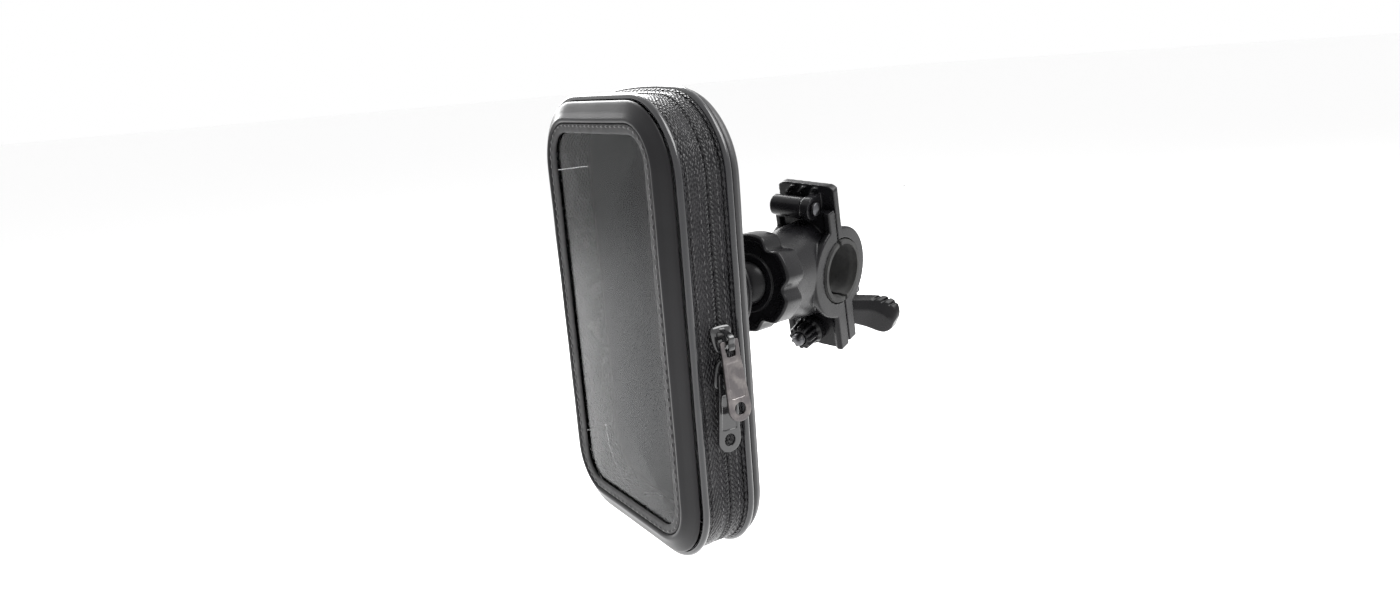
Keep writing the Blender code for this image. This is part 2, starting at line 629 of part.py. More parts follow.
def make_fasteners(mats, jaws):
    x_end = EAR_X1 + GAP
    rings = []
    for radius, x in (
        (PIN_R, BARREL_X0 + 0.6 * MM), (PIN_R, x_end), (PIN_R + 0.9 * MM, x_end),
        (PIN_R + 0.9 * MM, x_end + 1.2 * MM), (PIN_R, x_end + 2.0 * MM),
    ):
        rings.append([Vector((x, BARREL_Y + radius * math.cos(a), BARREL_Z + radius * math.sin(a)))
                      for a in (2 * math.pi * i / 16 for i in range(16))])
    place("hinge_pin", loft(rings), mats["steel"], jaws)

    axis = (BOLT_X, BOLT_Z)
    bolt = [(BOLT_R - 0.6 * MM, BOLT_Y0), (BOLT_R, BOLT_Y0 + 0.6 * MM), (BOLT_R, BOLT_Y1 - 0.6 * MM),
            (BOLT_R - 0.6 * MM, BOLT_Y1)]
    place("clamp_bolt", turned(bolt, 16, axis), mats["steel"], jaws)

    y1 = -SPLIT - FLANGE - GAP
    y0 = BOLT_Y0 + 2.0 * MM

    def star(y, radius, depth):
        count = STAR_TEETH * 4
        return [
            Vector((axis[0] + r * math.cos(a), y, axis[1] + r * math.sin(a)))
            for a, r in (
                (2 * math.pi * i / count, radius - (depth if i % 4 in (2, 3) else 0.0)) for i in range(count)
            )
        ]

    bore = BOLT_R + GAP
    rings = [
        star(y1, STAR_R + 1.0 * MM, 0.0), star(y1 - 3.0 * MM, STAR_R + 0.8 * MM, 0.0),
        star(y1 - 3.0 * MM, STAR_R, 0.9 * MM), star(y0, STAR_R - 0.4 * MM, 0.9 * MM),
        star(y0, bore, 0.0), star(y1, bore, 0.0),
    ]
    place("star_nut", loft(rings, closed_path=True), mats["plastic"], jaws)

    washer_y = SPLIT + FLANGE + GAP
    back_y = washer_y + WASHER
    washer = [(bore, washer_y), (WASHER_R, washer_y), (WASHER_R, back_y), (bore, back_y)]
    ring = loft([circle(r, y, 24, axis) for r, y in washer], closed_path=True)
    place("knob_washer", ring, mats["steel"], jaws)


def wing_section(reach, half_h, y_front, thick, side):
    """Rounded-square section of a wing, at a distance from the knob's axis."""
    middle = y_front + 0.5 * thick
    ring = []
    for i in range(12):
        a = 2 * math.pi * i / 12
        c, s = math.cos(a), math.sin(a)
        y = middle + 0.5 * thick * math.copysign(abs(c) ** 0.6, c)
        z = half_h * math.copysign(abs(s) ** 0.6, s)
        ring.append(Vector((side * reach, y, z)))
    return ring


def make_wing_knob(mats, jaws):
    """Hub with two broad wings swept back, so that they turn clear of the rear jaw."""
    y0 = SPLIT + FLANGE + GAP + WASHER + GAP
    spin = empty("knob_axis", (BOLT_X, 0.0, BOLT_Z), (0.0, KNOB_TURN, 0.0), jaws)
    hub = [
        (KNOB_HUB_R - 0.8 * MM, y0), (KNOB_HUB_R, y0 + 0.8 * MM), (KNOB_HUB_R, y0 + 0.8 * KNOB_DEPTH),
        (KNOB_HUB_R - 2.0 * MM, y0 + KNOB_DEPTH),
    ]
    knob = place("wing_knob", turned(hub, 24), mats["plastic"], spin)
    sections = (
        (3.0, 5.0, 9.5, 9.0), (9.0, 6.6, 14.4, 8.0), (14.0, 7.8, 18.0, 7.4), (18.0, 7.8, 19.2, 7.2),
        (20.6, 6.8, 19.6, 6.6), (22.2, 5.0, 20.0, 5.4), (23.0, 3.0, 20.6, 4.2),
    )
    for side, name in ((1, "wing_right"), (-1, "wing_left")):
        rings = [wing_section(r * MM, h * MM, y * MM, t * MM, side) for r, h, y, t in sections]
        boolean(knob, place(name, loft(rings), None, spin), "UNION")
    bore = turned([(BOLT_R + GAP, y0 - 2 * MM), (BOLT_R + GAP, y0 + KNOB_DEPTH + 4 * MM)], 16)
    boolean(knob, place("knob_bore", bore, None, spin), "DIFFERENCE")


# ---- assembly ------------------------------------------------------------------------------------
def make_materials():
    return {
        "leather": material("leather", (0.028, 0.028, 0.03), 0.5),
        "piping": material("piping", (0.02, 0.02, 0.022), 0.3),
        "tape": material("tape", (0.022, 0.022, 0.024), 0.62),
        "coil": material("coil", (0.02, 0.02, 0.02), 0.4),
        "shell": material("shell", (0.025, 0.025, 0.027), 0.55),
        "window": material("window", (0.92, 0.94, 0.95), 0.08, 0.0, 0.3),
        "foam": material("foam", (0.03, 0.03, 0.032), 0.95),
        "plastic": material("plastic", (0.02, 0.02, 0.022), 0.38),
        "rubber": material("rubber", (0.018, 0.018, 0.018), 0.85),
        "steel": material("steel", (0.12, 0.12, 0.125), 0.35, 1.0),
        "black_metal": material("black_metal", (0.03, 0.03, 0.032), 0.28, 0.6),
        "pull": material("pull", (0.2, 0.19, 0.19), 0.38, 0.9),
    }


def main():
    clear_scene()
    mats = make_materials()
    collar = empty("collar", rotation=(COLLAR_TILT, ROLL, PAN))
    jaws = empty("jaws", rotation=(JAW_TILT, ROLL, PAN))
    turn = Euler((COLLAR_TILT, ROLL, PAN), "XYZ").to_matrix()
    ball_world = -(turn @ Vector((0.0, BALL_TO_BAR, 0.0)))
    case = empty("case", ball_world - BALL_CASE)
    ball = empty("ball_centre", ball_world, (COLLAR_TILT, ROLL, PAN))

    make_front_shell(mats["leather"], case)
    make_window(mats, case)
    make_side_wall(mats, case)
    make_back(mats, case)
    make_mounting(mats, case)
    make_sliders(mats, case)
    make_stem(mats, case)
    make_ball(mats, ball)
    make_lock_ring(mats, ball)
    make_front_jaw(mats, jaws, collar)
    make_rear_jaw(mats, jaws)
    make_liners(mats, jaws)
    make_fasteners(mats, jaws)
    make_wing_knob(mats, jaws)


main()
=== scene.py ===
"""Looks of a zip-up phone mount for a handlebar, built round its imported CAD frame."""
import json
import math

import bmesh
import bpy
from mathutils import Matrix, Vector, noise


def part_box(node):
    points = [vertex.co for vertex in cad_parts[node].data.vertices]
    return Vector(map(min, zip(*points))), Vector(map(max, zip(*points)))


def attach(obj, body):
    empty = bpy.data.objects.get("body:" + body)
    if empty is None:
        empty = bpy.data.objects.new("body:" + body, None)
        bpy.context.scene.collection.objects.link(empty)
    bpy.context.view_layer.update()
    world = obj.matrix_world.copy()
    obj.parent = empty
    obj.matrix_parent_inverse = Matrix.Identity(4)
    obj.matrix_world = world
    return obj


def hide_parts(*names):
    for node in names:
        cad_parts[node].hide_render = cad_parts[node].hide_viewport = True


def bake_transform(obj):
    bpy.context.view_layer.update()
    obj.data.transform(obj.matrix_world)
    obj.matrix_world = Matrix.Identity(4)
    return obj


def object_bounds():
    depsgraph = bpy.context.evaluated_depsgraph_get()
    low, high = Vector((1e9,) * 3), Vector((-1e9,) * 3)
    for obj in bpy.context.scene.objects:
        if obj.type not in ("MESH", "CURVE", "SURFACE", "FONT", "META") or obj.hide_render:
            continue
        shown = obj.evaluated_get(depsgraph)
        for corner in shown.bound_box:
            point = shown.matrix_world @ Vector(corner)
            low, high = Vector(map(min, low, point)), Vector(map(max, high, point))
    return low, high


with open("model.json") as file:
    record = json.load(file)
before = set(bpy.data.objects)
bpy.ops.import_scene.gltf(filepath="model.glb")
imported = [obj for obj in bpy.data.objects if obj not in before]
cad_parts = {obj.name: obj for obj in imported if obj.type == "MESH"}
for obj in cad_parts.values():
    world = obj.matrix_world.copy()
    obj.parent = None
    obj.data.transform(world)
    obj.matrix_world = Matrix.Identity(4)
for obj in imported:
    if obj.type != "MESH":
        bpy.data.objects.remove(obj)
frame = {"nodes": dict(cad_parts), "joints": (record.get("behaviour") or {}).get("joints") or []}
cad_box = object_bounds()

MM = 0.001
nodes = frame["nodes"]
joints = {joint["name"]: joint for joint in frame["joints"]}


# ---- the three frames that pieces are drawn in, in millimetres --------------------
def frame_at(x_axis, y_axis, origin):
    """Matrix that takes a local point in millimetres to the row frame in metres."""
    x_axis, y_axis = Vector(x_axis).normalized(), Vector(y_axis).normalized()
    matrix = Matrix((x_axis, y_axis, x_axis.cross(y_axis))).transposed().to_4x4()
    matrix.translation = origin
    return matrix @ Matrix.Scale(MM, 4)


bar_axis = joints["jaw_swing"]["axis"]
ball_centre = Vector(joints["lock_ring_turn"]["pos_m"])
JAW = frame_at(bar_axis, joints["knob_travel"]["axis"], (0, 0, 0))
COLLAR = frame_at(bar_axis, joints["lock_ring_turn"]["axis"], ball_centre)

FRONT_PIPING_Y = 2.9
ZIP_Y = 12.2
REAR_PIPING_Y = 19.1
piping_low, piping_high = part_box("front_piping")
case_centre = (Vector(piping_low) + Vector(piping_high)) / 2
case_centre.y -= FRONT_PIPING_Y * MM
CASE = frame_at((1, 0, 0), (0, 1, 0), case_centre)
BALL_IN_CASE = CASE.inverted() @ ball_centre
BALL_R, NECK_R = 8.5, 4.2

HALF_W, HALF_H = 43.0, 72.0
CORNER_TOP, CORNER_BOTTOM = 24.0, 22.0
WINDOW_HALF_W, WINDOW_HALF_H, WINDOW_CORNER = 31.0, 61.7, 9.0


# ---- curves and outlines ----------------------------------------------------------
def arc(radius, start, end, steps, centre=(0.0, 0.0)):
    """Points along an arc, in degrees."""
    angles = [math.radians(start + (end - start) * i / steps) for i in range(steps + 1)]
    return [(centre[0] + radius * math.cos(a), centre[1] + radius * math.sin(a)) for a in angles]


def smooth(points, steps, closed=False):
    """Catmull-Rom curve through the points, steps samples to each span."""
    points = [Vector(p) for p in points]
    count = len(points)
    spans = count if closed else count - 1

    def at(i):
        return points[i % count] if closed else points[min(max(i, 0), count - 1)]

    result = []
    for i in range(spans):
        a, b, c, d = at(i - 1), at(i), at(i + 1), at(i + 2)
        for k in range(steps):
            t = k / steps
            result.append(0.5 * (2 * b + (c - a) * t + (2 * a - 5 * b + 4 * c - d) * t ** 2
                                 + (3 * b - a - 3 * c + d) * t ** 3))
    if not closed:
        result.append(points[-1])
    return result


def fillet(points, radius, steps=4, closed=False):
    """Rounds the corners of a polyline; a third value in a point is its own radius."""
    result = []
    count = len(points)
    for i, point in enumerate(points):
        r = point[2] if len(point) > 2 else radius
        here = Vector(point[:2])
        if r <= 0 or (not closed and i in (0, count - 1)):
            result.append(here)
            continue
        before = Vector(points[i - 1][:2]) - here
        after = Vector(points[(i + 1) % count][:2]) - here
        turn = math.pi - before.angle(after)
        reach = min(r * math.tan(turn / 2), 0.48 * before.length, 0.48 * after.length)
        p, q = here + before.normalized() * reach, here + after.normalized() * reach
        for k in range(steps + 1):
            t = k / steps
            result.append(p * (1 - t) ** 2 + 2 * here * t * (1 - t) + q * t ** 2)
    return result


def outline(inset, half_w=HALF_W, half_h=HALF_H, top=CORNER_TOP, bottom=CORNER_BOTTOM):
    """(x, z) points once round the case: from the top of its left side over the top,
    down the right, along the bottom and back up the left side."""
    w, h = half_w - inset, half_h - inset
    corner_steps, long_steps, short_steps = 20, 44, 14
    corners = ((-1, 1, top, 180), (1, 1, top, 90), (1, -1, bottom, 0), (-1, -1, bottom, -90))
    straights = (short_steps, long_steps, short_steps, long_steps)
    points = []
    for (sx, sz, radius, start), steps in zip(corners, straights):
        r = max(radius - inset, 0.3)
        points += arc(r, start, start - 90, corner_steps, (sx * (w - r), sz * (h - r)))
        points += [None] * (steps - 1)
    count = len(points)
    for i, point in enumerate(points):
        if point is None:
            run = next(k for k in range(1, count) if points[(i + k) % count] is not None)
            last, target = Vector(points[i - 1]), Vector(points[(i + run) % count])
            points[i] = tuple(last + (target - last) / (run + 1))
    return points


ZIP_POINTS = 4 * 21 + 13 + 43 + 13      # outline points that the zip runs along
PERIMETER_POINTS = len(outline(0.0))


# ---- meshes -------------------------------------------------------------------------
def finish_mesh(name, verts, faces, matrix, mat, uvs=None, sharp=40.0):
    """A closed mesh in the row frame, from local millimetres."""
    mesh = bpy.data.meshes.new(name)
    mesh.from_pydata([matrix @ Vector(v) for v in verts], [], faces)
    if uvs is not None:
        layer = mesh.uv_layers.new(name="UVMap")
        for loop, uv in zip(layer.data, uvs):
            loop.uv = uv
    bm = bmesh.new()
    bm.from_mesh(mesh)
    bmesh.ops.recalc_face_normals(bm, faces=bm.faces)
    bm.to_mesh(mesh)
    bm.free()
    mesh.shade_smooth()
    mesh.set_sharp_from_angle(angle=math.radians(sharp))
    obj = bpy.data.objects.new(name, mesh)
    bpy.context.collection.objects.link(obj)
    if mat is not None:
        mesh.materials.append(mat)
    return obj


def lengths(points, closed):
    """Distance along the points, with the whole length last when they close."""
    run = [0.0]
    following = list(points[1:]) + ([points[0]] if closed else [])
    for a, b in zip(points, following):
        run.append(run[-1] + (Vector(b) - Vector(a)).length)
    return run


def skin(name, rings, matrix, mat, closed_path=False, caps=True, sharp=40.0):
    """Skins equal closed rings of 3-D points.  UVs are millimetres along and round."""
    m = len(rings[0])
    verts = [p for ring in rings for p in ring]
    along = lengths([ring[0] for ring in rings], closed_path)
    around = lengths(rings[0], True)
    faces, uvs = [], []
    for r in range(len(rings) if closed_path else len(rings) - 1):
        low, high = r * m, ((r + 1) % len(rings)) * m
        for i in range(m):
            j = (i + 1) % m
            faces.append((low + i, low + j, high + j, high + i))
            u0, u1, v0, v1 = along[r], along[r + 1], around[i], around[i + 1]
            uvs += [(u0, v0), (u0, v1), (u1, v1), (u1, v0)]
    if caps and not closed_path:
        for start in (0, (len(rings) - 1) * m):
            faces.append(tuple(range(start, start + m)))
            uvs += [(0.0, 0.0)] * m
    return finish_mesh(name, verts, faces, matrix, mat, uvs, sharp)


def full_turn(count):
    """Equal angles once round, in radians."""
    return [2 * math.pi * i / count for i in range(count)]


def circle(radius, y, segments=96, centre=(0.0, 0.0), squash=1.0):
    """Points of a circle about the local Y axis; squash narrows it along X."""
    return [
        Vector((centre[0] + squash * radius * math.cos(a), y, centre[1] + radius * math.sin(a)))
        for a in full_turn(segments)
    ]


def turned(name, profile, matrix, mat, radius=0.5, segments=96, centre=(0.0, 0.0), hollow=False):
    """Revolves a (radius, y) profile about the local Y axis, its corners rounded."""
    rings = [circle(p[0], p[1], segments, centre) for p in fillet(profile, radius, closed=hollow)]
    return skin(name, rings, matrix, mat, closed_path=hollow)


def prism(name, points, axis, start, end, matrix, mat=None):
    """Extrudes a 2-D outline: along 'X' it holds (y, z), along 'Y' (x, z)."""
    def at(p, level):
        return Vector((level, p[0], p[1])) if axis == "X" else Vector((p[0], level, p[1]))
    return skin(name, [[at(p, start) for p in points], [at(p, end) for p in points]], matrix, mat)


def block(name, x, y, z, matrix):
    """A box between two limits on each axis."""
    return prism(name, [(x[0], z[0]), (x[1], z[0]), (x[1], z[1]), (x[0], z[1])], "Y", y[0], y[1], matrix)


def rod_x(name, radius, x0, x1, centre, matrix, segments=64):
    """A cylinder along the local X axis; centre is its (y, z)."""
    return prism(name, arc(radius, 0, 360 - 360 / segments, segments - 1, centre), "X", x0, x1, matrix)


def combine(obj, others, operation):
    """Applies one Boolean with each of the others and removes them."""
    for other in others:
        mod = obj.modifiers.new(operation.lower(), "BOOLEAN")
        mod.operation = operation
        mod.solver = "EXACT"
        mod.object = other
    bake(obj)
    for other in others:
        bpy.data.objects.remove(other, do_unlink=True)


def bake(obj):
    """Collapses the modifiers into the mesh."""
    graph = bpy.context.evaluated_depsgraph_get()
    mesh = bpy.data.meshes.new_from_object(obj.evaluated_get(graph))
    obj.modifiers.clear()
    obj.data = mesh


def mould(obj, voxel, rounds, mat):
    """Gives a Boolean shape the soft edges of a moulding: fine even quads, smoothed."""
    remesh = obj.modifiers.new("even", "REMESH")
    remesh.mode = "VOXEL"
    remesh.voxel_size = voxel * MM
    relax = obj.modifiers.new("relax", "SMOOTH")
    relax.factor = 0.5
    relax.iterations = rounds
    bake(obj)
    obj.data.shade_smooth()
    obj.data.materials.clear()
    obj.data.materials.append(mat)


def set_piece(obj, body, *replaced, slot=None):
    """Rides the piece on its body in place of CAD nodes; the slot argument is not used."""
    if replaced:
        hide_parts(*replaced)
    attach(obj, body)
    return obj


# ---- materials ------------------------------------------------------------------------
class Surface:
    """A Principled material whose colour, roughness and relief come from noise."""

    def __init__(self, name, colour, roughness, metallic=0.0, **sockets):
        self.material = bpy.data.materials.new(name)
        self.material.use_nodes = True
        self.tree = self.material.node_tree
        self.shader = self.tree.nodes["Principled BSDF"]
        self.colour = colour
        self.roughness = roughness
        self.shader.inputs["Base Color"].default_value = (*colour, 1.0)
        self.shader.inputs["Roughness"].default_value = roughness
        self.shader.inputs["Metallic"].default_value = metallic
        for socket, value in sockets.items():
            self.shader.inputs[socket.replace("_", " ")].default_value = value
        self.coords = self.tree.nodes.new("ShaderNodeTexCoord")

    def node(self, kind, inputs=(), **settings):
        """Adds a node; inputs maps socket names or indices to values or outputs."""
        node = self.tree.nodes.new(kind)
        for key, value in settings.items():
            setattr(node, key, value)
        for key, value in dict(inputs).items():
            if isinstance(value, bpy.types.NodeSocket):
                self.tree.links.new(value, node.inputs[key])
            else:
                node.inputs[key].default_value = value
        return node

    def noise(self, size_mm, detail=3.0, rough=0.55, stretch=(1, 1, 1), distortion=0.0):
        place = self.node("ShaderNodeMapping", {"Vector": self.coords.outputs["Object"], "Scale": stretch})
        return self.node("ShaderNodeTexNoise", {
            "Vector": place.outputs[0], "Scale": 1000.0 / size_mm, "Detail": detail,
            "Roughness": rough, "Distortion": distortion}).outputs["Fac"]

    def pebble(self, size_mm, smoothness=0.6):
        return self.node("ShaderNodeTexVoronoi", {
            "Vector": self.coords.outputs["Object"], "Scale": 1000.0 / size_mm,
            "Smoothness": smoothness}, feature="SMOOTH_F1").outputs["Distance"]

    def ramp(self, value, low, high, out_low, out_high):
        """Maps low..high of the value to out_low..out_high."""
        return self.node("ShaderNodeMapRange", {
            "Value": value, "From Min": low, "From Max": high,
            "To Min": out_low, "To Max": out_high}).outputs[0]

    def vary_roughness(self, value, spread):
        out = self.ramp(value, 0.25, 0.75, self.roughness - spread, self.roughness + spread)
        self.tree.links.new(out, self.shader.inputs["Roughness"])

    def vary_colour(self, value, other, low=0.35, high=0.65):
        """Blends the base colour towards another one where value is high."""
        blend = self.node("ShaderNodeMix", {
            "Factor": self.ramp(value, low, high, 0.0, 1.0), 6: (*self.colour, 1.0), 7: (*other, 1.0)},
            data_type="RGBA")
        self.tree.links.new(blend.outputs[2], self.shader.inputs["Base Color"])

    def relief(self, height, depth_mm, strength=1.0):
        inputs = {"Height": height, "Distance": depth_mm * MM, "Strength": strength}
        before = self.shader.inputs["Normal"].links
        if before:
            inputs["Normal"] = before[0].from_socket
        bump = self.node("ShaderNodeBump", inputs)
        self.tree.links.new(bump.outputs[0], self.shader.inputs["Normal"])

    def weave(self, pitch_along, pitch_round, slant):
        """Rows of short raised dashes on the piece's own UVs, in millimetres."""
        place = self.node("ShaderNodeMapping", {
            "Vector": self.coords.outputs["UV"], "Rotation": (0, 0, math.radians(slant)),
            "Scale": (1.0 / pitch_along, 1.0 / pitch_round, 1.0)})
        return self.node("ShaderNodeTexVoronoi", {
            "Vector": place.outputs[0], "Scale": 1.0, "Randomness": 0.35},
            voronoi_dimensions="2D").outputs["Distance"]


def make_skin():
    """Heat-formed leatherette over foam: satin, with an almost flat grain."""
    s = Surface("shell_leatherette", (0.009, 0.0088, 0.0098), 0.32, Specular_IOR_Level=0.2)
    s.vary_colour(s.noise(35), (0.014, 0.0135, 0.015))
    s.vary_roughness(s.noise(22, 4), 0.05)
    s.relief(s.pebble(0.5), 0.012)
    s.relief(s.noise(9, 2), 0.03)
    return s.material


def make_hem():
    """Narrow band round the window: fine pebbled grain, duller."""
    s = Surface("hem_leatherette", (0.014, 0.0138, 0.015), 0.58)
    s.vary_colour(s.noise(4), (0.023, 0.0225, 0.0235))
    s.vary_roughness(s.noise(3), 0.08)
    s.relief(s.pebble(0.5, 0.3), 0.07)
    s.relief(s.noise(0.35, 2), 0.03)
    return s.material


def make_gusset():
    """Side strip: glossy coated cloth, embossed with slanting dashes."""
    s = Surface("gusset_cloth", (0.0075, 0.0073, 0.0084), 0.25, Specular_IOR_Level=0.25)
    dash = s.weave(1.7, 0.8, 38)
    s.vary_colour(s.noise(14), (0.018, 0.0175, 0.019))
    s.vary_roughness(s.noise(11, 4), 0.08)
    s.relief(s.ramp(dash, 0.15, 0.6, 1.0, 0.0), 0.3)
    s.relief(s.noise(9, 1, stretch=(1, 1, 0.5)), 0.1)
    return s.material


def make_piping():
    s = Surface("piping_vinyl", (0.012, 0.012, 0.014), 0.2, Coat_Weight=0.4, Coat_Roughness=0.12)
    s.vary_roughness(s.noise(6, 3), 0.06)
    s.relief(s.noise(1.6, 3), 0.04)
    return s.material


def make_back():
    s = Surface("back_leatherette", (0.011, 0.0107, 0.0117), 0.44)
    s.vary_colour(s.noise(26), (0.017, 0.0165, 0.018))
    s.vary_roughness(s.noise(18, 4), 0.06)
    s.relief(s.pebble(0.7), 0.035)
    return s.material


def make_thread():
    s = Surface("thread", (0.022, 0.021, 0.022), 0.5, Sheen_Weight=0.3)
    s.vary_colour(s.noise(2), (0.05, 0.048, 0.05))
    s.relief(s.noise(0.12, 2, stretch=(1, 1, 3)), 0.02)
    return s.material


def make_coil():
    s = Surface("zip_coil", (0.018, 0.018, 0.019), 0.36)
    s.vary_roughness(s.noise(1.5), 0.1)
    s.relief(s.noise(0.3), 0.01)
    return s.material


def make_lining():
    """Brushed nylon lining over foam."""
    s = Surface("lining", (0.004, 0.004, 0.0043), 0.7, Specular_IOR_Level=0.12)
    s.vary_colour(s.noise(6), (0.006, 0.0059, 0.0064))
    s.relief(s.noise(0.5, 2), 0.008)
    return s.material


def make_window():
    """Clear soft vinyl with slow waves in it."""
    s = Surface("clear_vinyl", (0.93, 0.94, 0.95), 0.04, Transmission_Weight=1.0, IOR=1.15)
    s.vary_roughness(s.noise(20, 3), 0.015)
    s.relief(s.noise(40, 1), 0.12)
    return s.material


def make_plastic():
    """Moulded black nylon: satin, with flow marks and a faint orange peel."""
    s = Surface("moulded_nylon", (0.0042, 0.0041, 0.0048), 0.27, Specular_IOR_Level=0.2)
    s.vary_colour(s.noise(12), (0.0075, 0.0072, 0.0082))
    s.vary_roughness(s.noise(7, 5), 0.07)
    s.relief(s.noise(1.1, 2), 0.012)
    s.relief(s.noise(0.18, 2), 0.004)
    return s.material


def make_rubber():
    s = Surface("liner_rubber", (0.014, 0.014, 0.014), 0.8)
    s.vary_colour(s.noise(5), (0.026, 0.026, 0.025))
    s.relief(s.noise(0.4, 3), 0.04)
    return s.material


def make_steel():
    """Blackened steel with the coating worn to metal here and there."""
    s = Surface("black_steel", (0.09, 0.09, 0.095), 0.36, 1.0)
    s.vary_colour(s.noise(3, 5), (0.3, 0.29, 0.28), 0.6, 0.72)
    s.vary_roughness(s.noise(1.5, 4), 0.1)
    s.relief(s.noise(0.3, 3), 0.01)
    return s.material


def make_black_metal():
    """Black enamel on die-cast metal."""
    s = Surface("black_enamel", (0.012, 0.012, 0.013), 0.16, Coat_Weight=0.6, Coat_Roughness=0.08)
    s.vary_roughness(s.noise(2.5, 4), 0.07)
    s.relief(s.noise(0.9, 3), 0.018)
    return s.material


def make_gunmetal():
    """Gunmetal plating with a brushed, slightly warm face."""
    s = Surface("gunmetal", (0.115, 0.106, 0.108), 0.34, 1.0)
    s.vary_colour(s.noise(3.5, 4), (0.2, 0.185, 0.18), 0.45, 0.7)
    s.vary_roughness(s.noise(0.8, 4, stretch=(1, 1, 0.15)), 0.12)
    s.relief(s.noise(0.25, 3, stretch=(1, 1, 0.12)), 0.008)
    return s.material


SKIN, HEM, GUSSET, PIPING = make_skin(), make_hem(), make_gusset(), make_piping()
BACK, THREAD, COIL, LINING = make_back(), make_thread(), make_coil(), make_lining()
WINDOW, PLASTIC, RUBBER, STEEL = make_window(), make_plastic(), make_rubber(), make_steel()
BLACK_METAL, GUNMETAL = make_black_metal(), make_gunmetal()


# ---- case -----------------------------------------------------------------------------
def crown(x, y, z):
    """Lift of the case's top towards its back, which rounds off the rear corners."""
    rise = min(max((z - 44.0) / 28.0, 0.0), 1.0) ** 1.5
    return 1.8 * rise * (y / REAR_PIPING_Y) * (1.0 - 2.2 * (x / HALF_W) ** 2)


def wobble(point, size, depth):
    """A small hand-made unevenness, in millimetres."""
    return depth * noise.noise(Vector(point) / size)


def window_outline(inset):
    """The window's own outline, in the same order as the case's."""
    return outline(inset, WINDOW_HALF_W, WINDOW_HALF_H, WINDOW_CORNER, WINDOW_CORNER)


def between_outlines(share):
    """(x, z) outline between the case's, share 0, and the window's, share 1."""
    pairs = zip(outline(0.0), window_outline(0.0))
    return [Vector(a) + (Vector(b) - Vector(a)) * share for a, b in pairs]


def swept(name, section, mat, body, *replaced, slot, closed=True, uneven=0.0, window=False):
    """Carries a closed section round the case.  Section points are (inset, y), or with
    window=True (share, y), where share runs from the case's edge, 0, to the window's, 1."""
    if window:
        columns = [between_outlines(share) for share, _ in section]
    else:
        columns = [[Vector(p) for p in outline(inset)] for inset, _ in section]
    count = PERIMETER_POINTS if closed else ZIP_POINTS
    rings = []
    for i in range(count):
        ring = []
        for column, (_, y) in zip(columns, section):
            x, z = column[i]
            ring.append(Vector((x, y + wobble((x, y, z), 14.0, uneven), z + crown(x, y, z))))
        rings.append(ring)
    obj = skin(name, rings, CASE, mat, closed_path=closed, sharp=50)
    return set_piece(obj, body, *replaced, slot=slot)


def make_front_panel():
    """Padded frame of the window: flat bevel rising to a crest, then the stitched hem."""
    outer = smooth((
        (0.14, 1.5), (0.07, 1.2), (0.07, 0.7), (0.12, 0.22), (0.25, -0.42), (0.38, -1.02), (0.48, -1.56),
        (0.56, -1.95), (0.63, -1.88), (0.67, -1.62)), 5)
    groove = [Vector(p) for p in ((0.685, -1.42), (0.695, -1.2), (0.695, -0.6))]
    inner = smooth(((0.62, -0.3), (0.45, 0.1), (0.28, 0.8), (0.19, 1.2)), 4)
    swept("front_panel", outer + groove + inner, SKIN, "case_front", "front_shell", slot="leather",
          uneven=0.1, window=True)
    hem = smooth((
        (0.71, -0.7), (0.705, -1.25), (0.735, -1.56), (0.82, -1.6), (0.94, -1.5), (0.995, -1.22),
        (1.005, -0.9), (0.99, -0.62), (0.86, -0.62)), 4, closed=True)
    swept("window_hem_band", hem, HEM, "case_front", "window_hem", slot="leather", uneven=0.1, window=True)


def stitch_points(curve, pitch, length):
    """Start and end of each stitch along a closed or open curve of 3-D points."""
    run = lengths(curve, False)
    total = run[-1]
    count = int(total / pitch)
    ends = []
    index = 0
    for k in range(count):
        pair = []
        for s in ((k + 0.1) * total / count, (k + 0.1) * total / count + length):
            s = min(s, total - 1e-6)
            while index > 0 and run[index] > s:
                index -= 1
            while run[index + 1] < s:
                index += 1
            t = (s - run[index]) / (run[index + 1] - run[index])
            pair.append(curve[index].lerp(curve[index + 1], t))
        ends.append(pair)
    return ends


def stitches(name, ends, normal_of, radius, body, slot="tape", sink=0.35):
    """One mesh of short threads, each a bead that dips into the cloth at its ends."""
    verts, faces = [], []
    sides, spans = 6, 6
    for start, end in ends:
        axis = (end - start).normalized()
        normal = normal_of((start + end) / 2)
        across = axis.cross(normal).normalized()
        base = len(verts)
        for k in range(spans + 1):
            t = k / spans
            bulge = math.sin(math.pi * t) ** 0.5 if 0 < t < 1 else 0.0
            r = radius * (0.35 + 0.65 * bulge)
            centre = start.lerp(end, t) + normal * radius * (bulge * (1 + sink) - sink - 0.9)
            for i in range(sides):
                a = 2 * math.pi * i / sides
                verts.append(centre + across * r * math.cos(a) + normal * r * math.sin(a))
        for k in range(spans):
            for i in range(sides):
                j = (i + 1) % sides
                low = base + k * sides
                faces.append((low + i, low + j, low + sides + j, low + sides + i))
        faces.append(tuple(base + i for i in range(sides)))
        faces.append(tuple(base + spans * sides + i for i in range(sides)))
    obj = finish_mesh(name, verts, faces, CASE, THREAD, sharp=80)
    return set_piece(obj, body, slot=slot)


def window_curve(share, y):
    """Closed 3-D curve between the case's outline and the window's."""
    points = between_outlines(share)
    points.append(points[0])
    return [Vector((p.x, y, p.y)) for p in points]


